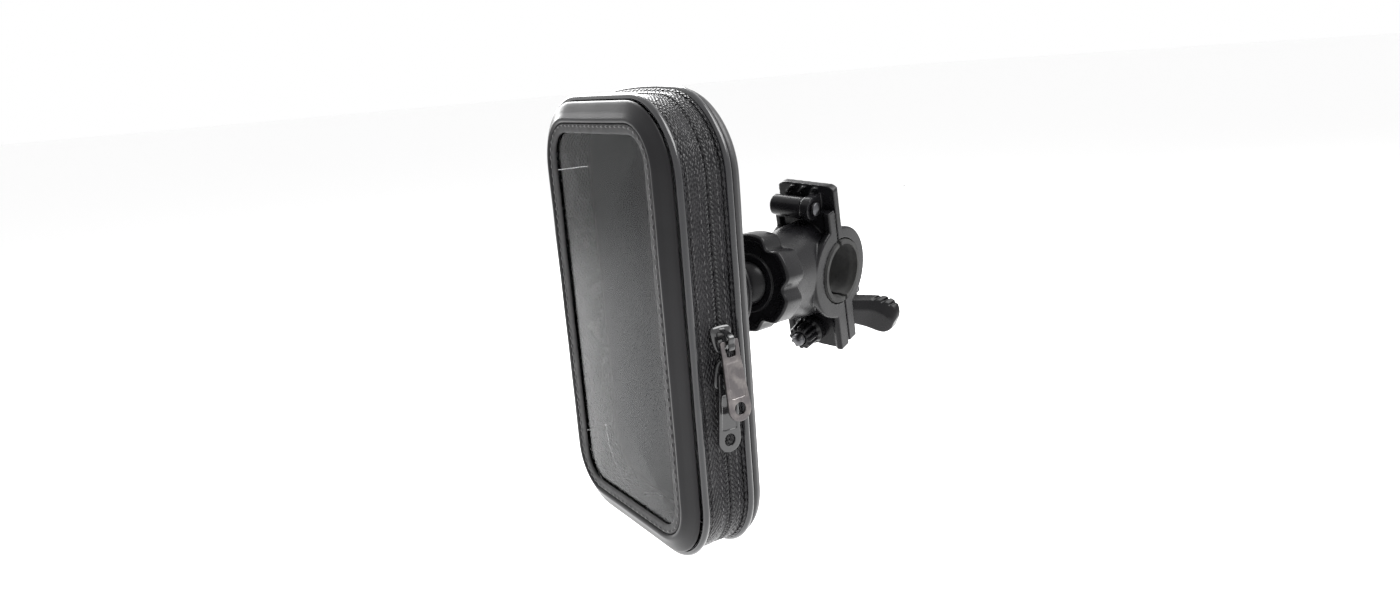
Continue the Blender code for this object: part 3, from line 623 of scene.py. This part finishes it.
def side_normal(point):
    """Outward direction of the case's side wall nearest to a point."""
    w, h = HALF_W, HALF_H
    r = CORNER_TOP if point.z > 0 else CORNER_BOTTOM
    cx = max(-(w - r), min(w - r, point.x))
    cz = max(-(h - r), min(h - r, point.z))
    if abs(point.x) <= w - r:
        cx = point.x
    if abs(point.z) <= h - r:
        cz = point.z
    away = Vector((point.x - cx, 0.0, point.z - cz))
    if away.length < 1e-6:
        away = Vector((point.x, 0.0, 0.0))
    return away.normalized()


def zip_curve(inset, y):
    return [Vector((x, y, z + crown(x, y, z))) for x, z in outline(inset)[:ZIP_POINTS]]


def make_window_stitches():
    front = Vector((0.0, -1.0, 0.0))
    ends = stitch_points(window_curve(0.785, -1.6), 2.9, 2.1)
    stitches("window_stitches", ends, lambda p: front, 0.34, "case_front", slot="leather")


def make_window_pane():
    """Clear sheet under the hem, bowed a little outwards."""
    edge = -1.6
    levels = ((edge, 0.0), (0.5, 0.0), (8.0, 0.35), (18.0, 0.6), (26.0, 0.7))
    front, back = [], []
    for inset, bow in levels:
        ring = window_outline(inset)
        front.append([Vector((x, -0.4 - bow, z)) for x, z in ring])
        back.append([Vector((x, 0.05 - bow, z)) for x, z in ring])
    rings = list(reversed(front)) + back
    pane = skin("window_pane", rings, CASE, WINDOW, sharp=60)
    set_piece(pane, "case_front", "window", slot="window")


def make_pipings():
    """Vinyl beads sewn into both seams, each with its narrow welt."""
    for name, y, side, body in (
        ("front_piping", FRONT_PIPING_Y, 1, "case_front"), ("rear_piping", REAR_PIPING_Y, -1, "case_back"),
    ):
        bead = [(-0.05 + x, y - 0.1 * side + v) for x, v in arc(1.15, 0, 340, 17)]
        swept(f"{name}_bead", bead, PIPING, body, name, slot="piping", uneven=0.1)
        welt = [(0.35 + 1.0 * x, y + 1.35 * side + v) for x, v in arc(0.55, 0, 330, 11)]
        swept(f"{name}_welt", welt, GUSSET, body, slot="piping", uneven=0.1)


def make_gussets():
    """Side strips from piping to zip, bellied a little between their seams."""
    front = smooth((
        (1.1, 4.6), (0.55, 4.9), (0.25, 6.0), (0.1, 7.6), (0.2, 9.2), (0.42, 10.6), (0.62, 11.4),
        (0.75, 12.0), (1.2, 12.05), (1.3, 10.5), (1.3, 6.5)), 4, closed=True)
    swept("zip_tape_front_cloth", front, GUSSET, "case_front", "zip_tape_front", slot="tape", closed=False)
    rear = smooth((
        (1.2, 12.35), (0.75, 12.4), (0.62, 13.0), (0.45, 13.7), (0.3, 15.0), (0.35, 16.4), (0.6, 17.3),
        (1.2, 17.5), (1.4, 16.0), (1.35, 14.0)), 4, closed=True)
    swept("zip_tape_rear_cloth", rear, GUSSET, "case_back", "zip_tape_rear", slot="tape", closed=False)


def make_zip_chain():
    """Reverse coil: two rows of slanting ridges that meet at the slit."""
    for side, end, body in ((-1, "front", "case_front"), (1, "rear", "case_back")):
        y = ZIP_Y + 0.95 * side
        near = stitch_points(zip_curve(0.62, y - 0.55 * side), 1.35, 0.1)
        far = stitch_points(zip_curve(0.6, y + 0.55 * side), 1.35, 1.0)
        count = min(len(near), len(far))
        ends = [(near[i][0], far[i][1]) for i in range(count)]
        chain = stitches(f"zip_chain_{end}", ends, side_normal, 0.32, body, slot="coil", sink=0.1)
        chain.data.materials.clear()
        chain.data.materials.append(COIL)
        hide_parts(f"zip_coil_{end}")
        seam = stitch_points(zip_curve(0.3, y + 2.1 * side), 2.4, 1.7)
        stitches(f"zip_seam_{end}", seam, side_normal, 0.22, body)
    seam = stitch_points(zip_curve(0.35, FRONT_PIPING_Y + 2.9), 2.2, 1.5)
    stitches("piping_seam", seam, side_normal, 0.22, "case_front")


def make_spine():
    """Left side: one fold of leatherette that is the cover's hinge."""
    z_low = -(HALF_H - CORNER_BOTTOM) + 0.2
    z_high = HALF_H - CORNER_TOP - 0.2
    section = smooth((
        (1.1, 4.5), (0.5, 4.9), (0.2, 7.0), (0.15, 10.0), (0.15, 12.2), (0.2, 14.5), (0.45, 17.0),
        (1.1, 17.5), (1.3, 16.0), (1.1, 12.2), (1.3, 7.0)), 5, closed=True)
    steps = 60
    rings = []
    for k in range(steps + 1):
        z = z_low + (z_high - z_low) * k / steps
        rings.append([Vector((-HALF_W + p.x + wobble((0, p.y, z), 9.0, 0.12), p.y, z)) for p in section])
    spine = skin("spine", rings, CASE, GUSSET, sharp=50)
    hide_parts("spine_front", "spine_rear")
    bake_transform(spine)


def make_back_panel():
    """Heat-formed back: soft shoulder and a flat field, open towards the inside."""
    inside = [Vector(p) for p in ((24.0, 23.5), (5.0, 23.5), (2.6, 22.6))]
    outside = fillet((
        (1.6, 20.9), (0.15, 20.75), (0.0, 22.0), (1.2, 23.9), (3.6, 24.6), (12.0, 24.6),
        (24.0, 24.6)), 1.2, 5)
    rings = []
    for inset, y in inside + outside:
        rings.append([
            Vector((x, y + wobble((x, 0, z), 16.0, 0.08), z + crown(x, y, z))) for x, z in outline(inset)])
    back = skin("back_panel", rings, CASE, BACK, sharp=50)
    set_piece(back, "case_back", "back_shell", slot="shell")


def make_pad():
    """Lined foam that the phone rests against."""
    levels = (
        (6.0, 20.0), (5.6, 18.0), (5.6, 15.4), (6.2, 14.0), (7.6, 13.1), (10.0, 12.85), (20.0, 12.8),
        (30.0, 12.8))
    rings = []
    for inset, y in levels:
        rings.append([Vector((x, y, z)) for x, z in outline(inset)])
    pad = skin("back_pad", rings, CASE, LINING, sharp=60)
    set_piece(pad, "case_back", "foam_pad", slot="foam")


# ---- zip sliders ---------------------------------------------------------------------
def make_slider(name, mat):
    """Shield-shaped slider with an arched bridge, on the right-hand side."""
    low, high = (CASE.inverted() @ Vector(corner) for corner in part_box(name))
    z = (low.z + high.z) / 2
    flip = 1 if name.endswith("upper") else -1
    x0 = HALF_W - 0.2
    top = high.x
    shield = smooth(((-3.3, 3.9), (0.0, 4.4), (3.3, 3.9), (3.5, 1.2), (2.3, -3.0), (0.0, -4.4), (-2.3, -3.0),
                     (-3.5, 1.2)), 5, closed=True)
    rings = []
    for scale, x in ((0.92, x0), (1.0, x0 + 0.35), (1.0, x0 + 1.0), (0.9, x0 + 1.5), (0.6, x0 + 1.85)):
        rings.append([Vector((x, ZIP_Y + p.x * scale, z + p.y * scale * flip)) for p in shield])
    body = skin(name + "_body", rings, CASE, None)
    arch = smooth(((x0 + 1.2, -3.0), (x0 + 2.6, -2.9), (top - 0.5, -1.9), (top - 0.45, 0.0), (top - 0.5, 1.9),
                   (x0 + 2.6, 2.9), (x0 + 1.2, 3.0)), 5)
    strap = []
    for i, p in enumerate(arch):
        ahead = arch[min(i + 1, len(arch) - 1)] - arch[max(i - 1, 0)]
        side = Vector((ahead.y, -ahead.x)).normalized()
        section = fillet([(-1.0, -0.42), (1.0, -0.42), (1.0, 0.42), (-1.0, 0.42)], 0.3, 3, closed=True)
        strap.append([Vector((p.x + side.x * s.y, ZIP_Y + s.x, z + p.y + side.y * s.y)) for s in section])
    bridge = skin(name + "_bridge", strap, CASE, None)
    thin = 0.15                 # half the post's thickness, which passes through the slit
    deep = x0 - 4.6
    post = block(name + "_post", (deep, x0 + 0.6), (ZIP_Y - thin, ZIP_Y + thin), (z - 2.0, z + 2.0), CASE)
    plate = block(name + "_plate", (deep, x0 - 3.9), (ZIP_Y - thin, ZIP_Y + 3.0), (z - 3.4, z + 3.4), CASE)
    combine(body, [bridge, post, plate], "UNION")
    mould(body, 0.13, 3, mat)
    return set_piece(body, name, name, slot="black_metal")


def make_pull(name, mat, slot):
    """Cast pull: loop, raised rim round a sunken face, and a ring at its end."""
    pivot = Vector(joints[name + "_swing"]["pos_m"])
    low, high = (Vector(corner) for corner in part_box(name))
    down = ((low + high) / 2 - pivot).normalized()
    across = Vector((0, 1, 0)) - down * down.y
    pull = frame_at(across.cross(-down), across, pivot)
    length, end_r, half_w = 24.0, 3.9, 3.1
    blank = [(-half_w, 0.6, 0.5), (-half_w, -5.2, 3), (-half_w - 0.2, -8.0, 6)]
    blank += [(x, z, 0) for x, z in arc(end_r, 184, 356, 24, (0.0, -(length - end_r)))]
    blank += [(half_w + 0.2, -8.0, 6), (half_w, -5.2, 3), (half_w, 0.6, 0.5)]
    points = fillet(blank, 0.6, 5, closed=True)
    body = prism(name + "_cast", points, "X", -0.5, 0.5, pull)
    eye = fillet([(-1.9, -0.6), (1.9, -0.6), (1.5, -4.4), (-1.5, -4.4)], 0.9, 5, True)
    loop = prism(name + "_loop", eye, "X", -2, 2, pull)
    hole_z = -(length - end_r)
    hole = rod_x(name + "_hole", 1.9, -2, 2, (0.0, hole_z), pull, 40)
    cutters = [loop, hole]
    face = [(-2.2, -6.0), (2.2, -6.0), (2.7, hole_z + 3.3), (1.3, hole_z + 3.1), (0, hole_z + 3.2),
            (-1.3, hole_z + 3.1), (-2.7, hole_z + 3.3)]
    for x in (-0.75, 0.75):
        cutters.append(prism(name + "_face", fillet(face, 0.6, 4, True), "X", x - 0.45, x + 0.45, pull))
    combine(body, cutters, "DIFFERENCE")
    mould(body, 0.13, 3, mat)
    return set_piece(body, name, name, slot=slot)


# ---- ball head ----------------------------------------------------------------------
def make_head():
    """Base plate, stem, ball and screws, turned with soft moulded edges."""
    centre = (BALL_IN_CASE.x, BALL_IN_CASE.z)
    ball_y = BALL_IN_CASE.y
    base = ((7.3, 25.2), (20.4, 24.9), (21.0, 25.6), (21.0, 27.6, 1.2), (19.4, 28.9), (12.6, 28.9),
            (10.4, 30.0), (9.8, 33.9), (7.3, 33.9))
    obj = turned("base_plate_disc", base, CASE, PLASTIC, 0.7, centre=centre, hollow=True)
    set_piece(obj, "case_back", "base_plate", slot="plastic")
    seat = BALL_R + 0.25
    neck_end = ball_y - seat * math.cos(math.asin(NECK_R / seat))
    stem = [(0.01, 29.1), (6.2, 29.1), (7.0, 29.9), (7.0, 36.0), (8.4, 37.6), (8.4, 39.9), (14.4, 41.0),
            (15.2, 41.7), (15.2, 42.4, 0.2), (14.9, 42.7, 0.2), (15.2, 43.0, 0.2), (15.2, 43.8), (14.4, 44.5),
            (6.2, 44.6), (4.3, 45.5), (NECK_R, neck_end, 0)]
    stem += [(seat * math.sin(a), ball_y - seat * math.cos(a), 0) for a in (0.36, 0.2, 0.08, 0.001)]
    obj = turned("stem_post", stem, CASE, PLASTIC, 0.7, centre=centre)
    set_piece(obj, "stem", "stem", slot="plastic")
    steps = 40
    turns = [math.pi * (i + 0.2) / steps for i in range(steps)]
    ball = [(BALL_R * math.sin(a), -BALL_R * math.cos(a), 0) for a in turns]
    obj = turned("ball_stud", ball, COLLAR, PLASTIC, 0, 64)
    set_piece(obj, "ball", "ball", slot="plastic")
    for i in range(1, 5):
        low, high = (CASE.inverted() @ Vector(corner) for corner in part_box(f"screw_{i}"))
        at = ((low.x + high.x) / 2, (low.z + high.z) / 2)
        head_y = high.y
        screw = ((0.01, low.y), (1.2, low.y), (1.5, low.y + 0.5), (1.5, head_y - 1.4), (2.8, head_y - 1.4),
                 (2.8, head_y - 0.5, 0.8), (0.01, head_y))
        obj = turned(f"screw_{i}_pan", screw, CASE, None, 0.3, 48, at)
        depth = (head_y - 0.9, head_y + 1)
        slots = [block("slot_a", (at[0] - 1.6, at[0] + 1.6), depth, (at[1] - 0.32, at[1] + 0.32), CASE),
                 block("slot_b", (at[0] - 0.32, at[0] + 0.32), depth, (at[1] - 1.6, at[1] + 1.6), CASE)]
        combine(obj, slots, "DIFFERENCE")
        obj.data.materials.clear()
        obj.data.materials.append(STEEL)
        obj.data.set_sharp_from_angle(angle=math.radians(35))
        set_piece(obj, "case_back", f"screw_{i}", slot="steel")


def lobed(radius, y, depth, lobes=6, segments=216):
    """Ring of broad lobes with narrow scooped valleys."""
    points = []
    for a in full_turn(segments):
        phase = abs((a * lobes / (2 * math.pi) + 0.5) % 1.0 - 0.5)
        scoop = depth * (0.5 + 0.5 * math.cos(math.pi * phase / 0.27)) if phase < 0.27 else 0.0
        points.append(Vector(((radius - scoop) * math.cos(a), y, (radius - scoop) * math.sin(a))))
    return points


def make_lock_ring():
    """Knurled ring nut: six lobes, a raised rim and a recessed face round the ball."""
    profile = fillet((
        (11.8, 7.0, 0.3), (17.0, 7.0), (17.5, 6.2), (17.5, -2.7), (16.8, -3.5), (15.4, -3.5, 0.3),
        (15.0, -2.7, 0.3), (10.6, -2.7, 0.3), (10.2, -3.5, 0.3), (8.15, -3.5, 0.1), (8.75, -1.7, 0.1),
        (11.8, -1.7, 0.2)), 0.8, 4, True)
    rings = []
    for r, y in profile:
        grip = min(max((r - 11.8) / 5.2, 0.0), 1.0)
        rings.append(lobed(r, y, 2.6 * grip))
    ring = skin("lock_ring_grip", rings, COLLAR, PLASTIC, closed_path=True, sharp=60)
    set_piece(ring, "lock_ring", "lock_ring", slot="plastic")


# ---- clamp ----------------------------------------------------------------------------
BORE_R = 12.6
JAW_HALF_W = 12.0
LINER_HALF_W = 12.8
SPLIT = 0.4
BARREL = (-5.4, 27.4)           # (y, z) of the hinge pin
BARREL_R, EAR_R, PIN_HOLE_R = 3.9, 4.3, 1.9
BOLT = (-1.0, -24.6)            # (x, z) of the clamp bolt
BOLT_HOLE_R = 2.8
FRONT_TOP, FRONT_BOTTOM = 25.4, -32.2
PLATE_TOP, REAR_BOTTOM = 34.2, -31.4
KNOB_TURN = math.radians(24.0)


def front_section(extra):
    """(y, z) outline of the front jaw, grown outwards by extra for its rims."""
    outer, web, flange = 17.4 + extra, SPLIT + 3.0 + extra, SPLIT + 4.6 + extra
    high = 90 + math.degrees(math.asin(web / outer))
    low = 270 - math.degrees(math.asin(flange / outer))
    start = math.degrees(math.acos(SPLIT / BORE_R))
    points = [(-SPLIT, FRONT_TOP)] + arc(BORE_R, 180 - start, 180 + start, 60)
    points += [(-SPLIT, FRONT_BOTTOM), (-flange, FRONT_BOTTOM)] + arc(outer, low, high, 50)
    return points + [(-web, FRONT_TOP)]


def rear_section(extra):
    """(y, z) outline of the rear jaw."""
    outer, plate, flange = 16.2 + extra, SPLIT + 2.4 + extra, SPLIT + 4.4 + extra
    high = 90 - math.degrees(math.asin(plate / outer))
    low = -90 + math.degrees(math.asin(flange / outer))
    start = math.degrees(math.acos(SPLIT / BORE_R))
    points = [(SPLIT, PLATE_TOP)] + arc(BORE_R, start, -start, 60)
    points += [(SPLIT, REAR_BOTTOM), (flange, REAR_BOTTOM)] + arc(outer, low, high, 50)
    return points + [(plate, PLATE_TOP)]


def socket_boss(matrix):
    """Neck from the clamp to the ball socket, with the spherical seat in its end."""
    rows = smooth((
        (11.8, 18.6, 37.2), (11.8, 18.6, 29.2), (12.0, 17.8, 23.2), (12.4, 16.0, 16.2), (12.9, 14.2, 10.2),
        (12.9, 13.2, 8.0)), 6)
    rings = [circle(row.y, row.z, 96, squash=row.x / row.y) for row in rows]
    rings += [circle(12.4, 7.6), circle(11.2, 7.5), circle(11.2, -1.2)]
    seat = BALL_R + 0.3
    mouth = math.acos(1.2 / seat)
    steps = 16
    for i in range(steps):
        a = mouth + (math.pi - mouth) * i / steps
        rings.append(circle(seat * math.sin(a), -seat * math.cos(a)))
    return skin("socket_boss", rings, matrix, None)


def rimmed(name, section, rim):
    """A jaw lofted along the bar: section(extra) grows by rim near both ends."""
    half = JAW_HALF_W
    steps = ((0.0, 0.55), (0.15, 0.85), (0.5, 1.0), (2.0, 1.0), (2.4, 0.85), (2.9, 0.15), (3.3, 0.0))
    profile = [(-half + depth, share) for depth, share in steps]
    profile += [(-x, share) for x, share in reversed(profile)]
    rings = [[Vector((x, y, z)) for y, z in section(rim * share)] for x, share in profile]
    return skin(name, rings, JAW, None)


def make_front_jaw():
    jaw = rimmed("front_jaw_casting", front_section, 1.0)
    pin_y, pin_z = BARREL
    barrel = rod_x("barrel", BARREL_R, -10.4, 2.4, BARREL, JAW)
    web = block("barrel_web", (-10.3, 2.3), (pin_y, -SPLIT - 0.1), (pin_z - 5.0, pin_z + 1.8), JAW)
    combine(jaw, [barrel, web, socket_boss(COLLAR)], "UNION")
    cuts = [
        rod_x("bore", BORE_R, -25, 25, (0.0, 0.0), JAW, 120),
        block("split", (-25, 25), (-SPLIT, 30), (-30, 24), JAW),
        block("ear_notch", (2.42, 6.7), (-12, 2), (pin_z - 5.2, 40), JAW),
        rod_x("pin_hole", PIN_HOLE_R, -20, 20, BARREL, JAW),
        turned("bolt_hole", ((BOLT_HOLE_R, -20), (BOLT_HOLE_R, 2)), JAW, None, 0, 48, BOLT),
    ]
    combine(jaw, cuts, "DIFFERENCE")
    mould(jaw, 0.3, 4, PLASTIC)
    set_piece(jaw, "clamp", "front_jaw", slot="plastic")


def make_rear_jaw():
    jaw = rimmed("rear_jaw_casting", rear_section, 0.8)
    pin_y, pin_z = BARREL
    ear = rod_x("ear", EAR_R, 2.8, 6.4, BARREL, JAW)
    root = block("ear_root", (2.9, 6.3), (pin_y, SPLIT + 0.5), (pin_z - BARREL_R, pin_z + BARREL_R), JAW)
    top = PLATE_TOP
    top_bead = block("top_bead", (-11.8, 11.8), (SPLIT + 0.3, SPLIT + 3.3), (top - 1.8, top - 0.2), JAW)
    ribs = []
    for i in range(3):
        x = -8.5 + 5.0 * i
        rib = [(x, top - 3.6), (x + 1.6, top - 3.6), (x + 4.2, top - 0.8), (x + 2.6, top - 0.8)]
        ribs.append(prism("rib", rib, "Y", -0.8, 0.9, JAW))
    combine(jaw, [ear, root, top_bead] + ribs, "UNION")
    side, edge, corner_r = JAW_HALF_W + 0.5, top - 0.05, 4.2
    rounded = fillet([(-side, -60, 0), (side, -60, 0), (side, edge, corner_r), (-side, edge, corner_r)],
                     0, 10, True)
    combine(jaw, [prism("rounded_plate", rounded, "Y", -15, 25, JAW)], "INTERSECT")
    cuts = [
        rod_x("pin_hole", PIN_HOLE_R, -20, 20, BARREL, JAW),
        block("bolt_slot", (-4.3, 2.3), (-2, 12), (-50, BOLT[1] + 3.3), JAW),
    ]
    combine(jaw, cuts, "DIFFERENCE")
    mould(jaw, 0.3, 4, PLASTIC)
    set_piece(jaw, "rear_jaw", "rear_jaw", slot="plastic")


def make_liners():
    """Rubber half-shells with raised bands that grip the bar."""
    for name, middle, body in (("liner_front", 180.0, "clamp"), ("liner_rear", 0.0, "rear_jaw")):
        sections = []
        span = 86.0
        for i in range(77):
            x = LINER_HALF_W * (i / 38 - 1)
            band = 0.25 * (0.5 + 0.5 * math.cos(2 * math.pi * x / 3.8))
            inner = arc(10.45 + band, middle - span, middle + span, 40)
            lip = 0.3 if abs(x) > LINER_HALF_W - 0.4 else 0.0
            outer = arc(12.3 - lip, middle + span, middle - span, 40)
            sections.append([Vector((x, y, z)) for y, z in inner + outer])
        liner = skin(name + "_grip", sections, JAW, RUBBER, sharp=50)
        set_piece(liner, body, name, slot="rubber")


def make_hinge_pin():
    rings = []
    profile = ((0.01, -9.8), (1.6, -9.8), (1.6, 6.7, 0), (2.5, 6.7), (2.5, 7.9), (0.01, 8.7))
    for r, x in fillet(profile, 0.4, 4):
        rings.append([Vector((x, BARREL[0] + r * math.cos(a), BARREL[1] + r * math.sin(a)))
                      for a in full_turn(48)])
    pin = skin("hinge_pin_rivet", rings, JAW, STEEL, sharp=60)
    set_piece(pin, "clamp", "hinge_pin", slot="steel")


def make_bolt():
    """Clamp bolt with a rolled thread along its rear end."""
    start, end, pitch, chamfer = -17.0, 29.0, 0.9, 0.8
    rings = []
    steps = 460
    for k in range(steps + 1):
        y = start + (end - start) * k / steps
        taper = min(1.0, (y - start) / chamfer, (end - y) / chamfer)
        ring = []
        for a in full_turn(48):
            cut = 0.22 * (0.5 + 0.5 * math.cos(2 * math.pi * (y / pitch) - a))
            thread = cut if y > -9.0 or y < -13.5 else 0.0
            r = max(0.05, (2.48 - thread) * (0.72 + 0.28 * max(taper, 0.0)))
            ring.append(Vector((BOLT[0] + r * math.cos(a), y, BOLT[1] + r * math.sin(a))))
        rings.append(ring)
    bolt = skin("clamp_bolt_thread", rings, JAW, STEEL, sharp=70)
    set_piece(bolt, "clamp", "clamp_bolt", slot="steel")


def make_star_nut():
    """Collar with deep ribs round its waist, against the front flange."""
    teeth, segments = 12, 192
    corners = ((6.0, -5.7), (6.0, -8.2), (5.3, -9.4), (5.0, -14.4), (4.4, -15.0), (2.7, -15.0), (2.7, -5.7))
    profile = fillet(corners, 0.6, 4, True)
    rings = []
    for r, y in profile:
        depth = 0.9 * min(max((-8.6 - y) / 0.8, 0.0), 1.0) * min(max((r - 3.4) / 1.0, 0.0), 1.0)
        ring = []
        for a in full_turn(segments):
            wave = 0.5 + 0.5 * math.cos(teeth * a)
            rr = r - depth * (1 - wave ** 0.6)
            ring.append(Vector((BOLT[0] + rr * math.cos(a), y, BOLT[1] + rr * math.sin(a))))
        rings.append(ring)
    nut = skin("star_nut_collar", rings, JAW, PLASTIC, closed_path=True, sharp=60)
    set_piece(nut, "clamp", "star_nut", slot="plastic")


def make_washer():
    profile = ((BOLT_HOLE_R, 5.7), (5.6, 5.7), (5.6, 6.9), (BOLT_HOLE_R, 6.9))
    washer = turned("knob_washer_disc", profile, JAW, STEEL, 0.25, centre=BOLT, hollow=True)
    set_piece(washer, "washer", "knob_washer", slot="steel")


def wing_ring(reach, half_h, y_front, thick, side):
    """Section of a wing: its grip face slopes from a low front ridge to a high back."""
    shape = ((0.0, -0.82), (0.0, 0.42), (0.45, 0.86), (1.0, 1.0), (1.0, -1.0))
    corners = [(y_front + back * thick, side * up * half_h) for back, up in shape]
    return [Vector((side * reach, y, z)) for y, z in fillet(corners, 1.3, 6, closed=True)]


def make_wing_knob():
    turn = Matrix.Translation((BOLT[0], 0, BOLT[1])) @ Matrix.Rotation(KNOB_TURN, 4, "Y")
    knob_frame = JAW @ turn
    profile = ((5.4, 7.2), (6.5, 7.2), (6.5, 19.6), (4.8, 22.7), (3.8, 22.7))
    hub = turned("wing_knob_grip", profile, knob_frame, None, 0.8, 72)
    wings = []
    sections = ((3.0, 5.0, 9.5, 9.0), (9.0, 6.6, 14.2, 8.2), (14.0, 7.8, 17.9, 7.5), (18.0, 7.8, 19.1, 7.3),
                (20.6, 6.8, 19.5, 6.7), (22.2, 5.0, 20.0, 5.5), (23.0, 3.0, 20.6, 4.4))
    for side in (1, -1):
        rings = [wing_ring(*row, side) for row in interpolate(sections, 6)]
        wings.append(skin("wing", rings, knob_frame, None))
    combine(hub, wings, "UNION")
    cuts = [turned("bore", ((BOLT_HOLE_R, 5), (BOLT_HOLE_R, 27)), knob_frame, None, 0, 48)]
    for side in (1, -1):
        for i in range(4):
            x = 9.6 + 2.9 * i
            groove = [(x, 0), (x + 0.9, 0), (x + 4.4, 12), (x + 3.5, 12)]
            rings = [[Vector((side * gx, 14.6 + gy, z * side)) for gx, gy in groove] for z in (6.2, 15.8)]
            cuts.append(skin("groove", rings, knob_frame, None))
    combine(hub, cuts, "DIFFERENCE")
    mould(hub, 0.3, 4, PLASTIC)
    set_piece(hub, "knob", "wing_knob", slot="plastic")


def interpolate(rows, steps):
    """Catmull-Rom through rows of four values, a pair of values at a time."""
    first = smooth([(r[0], r[1]) for r in rows], steps)
    second = smooth([(r[2], r[3]) for r in rows], steps)
    return [(a.x, a.y, b.x, b.y) for a, b in zip(first, second)]


def make_hidden_parts():
    """The backing plate's CAD shape is right as it is and only needs its finish."""
    plate = nodes["backing_plate"]
    plate.data.materials.clear()
    plate.data.materials.append(PLASTIC)


# ---- stage ----------------------------------------------------------------------------
def make_floor(low):
    """Flat pale floor, well below the part."""
    half, z = 12.0, low - 0.06
    mesh = bpy.data.meshes.new("floor")
    corners = [(-half, -half, z), (half, -half, z), (half, half, z), (-half, half, z)]
    mesh.from_pydata(corners, [], [(0, 1, 2, 3)])
    floor = bpy.data.objects.new("floor", mesh)
    bpy.context.collection.objects.link(floor)
    mesh.materials.append(Surface("pale_floor", (0.97, 0.97, 0.97), 0.9).material)


def area_light(name, size, power, position, target):
    data = bpy.data.lights.new(name, "AREA")
    data.energy = power
    data.size = size
    light = bpy.data.objects.new(name, data)
    bpy.context.collection.objects.link(light)
    light.location = position
    aim = Vector(target) - Vector(position)
    light.rotation_euler = aim.to_track_quat("-Z", "Y").to_euler()


def make_lights():
    """White surroundings with two large softboxes: one above and behind, one to the left."""
    world = bpy.data.worlds.new("studio")
    world.use_nodes = True
    back = world.node_tree.nodes["Background"]
    back.inputs["Color"].default_value = (1, 1, 1, 1)
    back.inputs["Strength"].default_value = 1.0
    scene = bpy.context.scene
    scene.world = world
    scene.view_settings.view_transform = "Standard"
    area_light("overhead", 0.6, 7.5, case_centre + Vector((0.3, 0.4, 0.6)), case_centre)
    area_light("left", 0.55, 11.0, case_centre + Vector((-0.7, 0.14, 0.42)), case_centre)


def make_camera():
    """Viewpoint of the product shot: low right front, looking slightly down."""
    right = Vector((0.5339, 0.842, -0.0767))
    up = Vector((-0.1609, 0.1902, 0.9685))
    forward = Vector((-0.8301, 0.5048, -0.237))
    data = bpy.data.cameras.new("camera")
    data.sensor_width = 36.0
    data.lens = 24.67
    data.clip_start = 0.01
    camera = bpy.data.objects.new("camera", data)
    matrix = Matrix((right, up, -forward)).transposed().to_4x4()
    matrix.translation = CASE @ Vector((272.6, -133.2, 78.7))
    camera.matrix_world = matrix
    bpy.context.collection.objects.link(camera)
    bpy.context.scene.camera = camera


make_front_panel()
make_window_stitches()
make_window_pane()
make_pipings()
make_gussets()
make_zip_chain()
make_spine()
make_back_panel()
make_pad()
make_slider("slider_upper", BLACK_METAL)
make_slider("slider_lower", BLACK_METAL)
make_pull("pull_upper", GUNMETAL, "pull")
make_pull("pull_lower", BLACK_METAL, "black_metal")
make_head()
make_lock_ring()
make_front_jaw()
make_rear_jaw()
make_liners()
make_hinge_pin()
make_bolt()
make_star_nut()
make_washer()
make_wing_knob()
make_hidden_parts()
make_floor(cad_box[0][2])
make_lights()
make_camera()
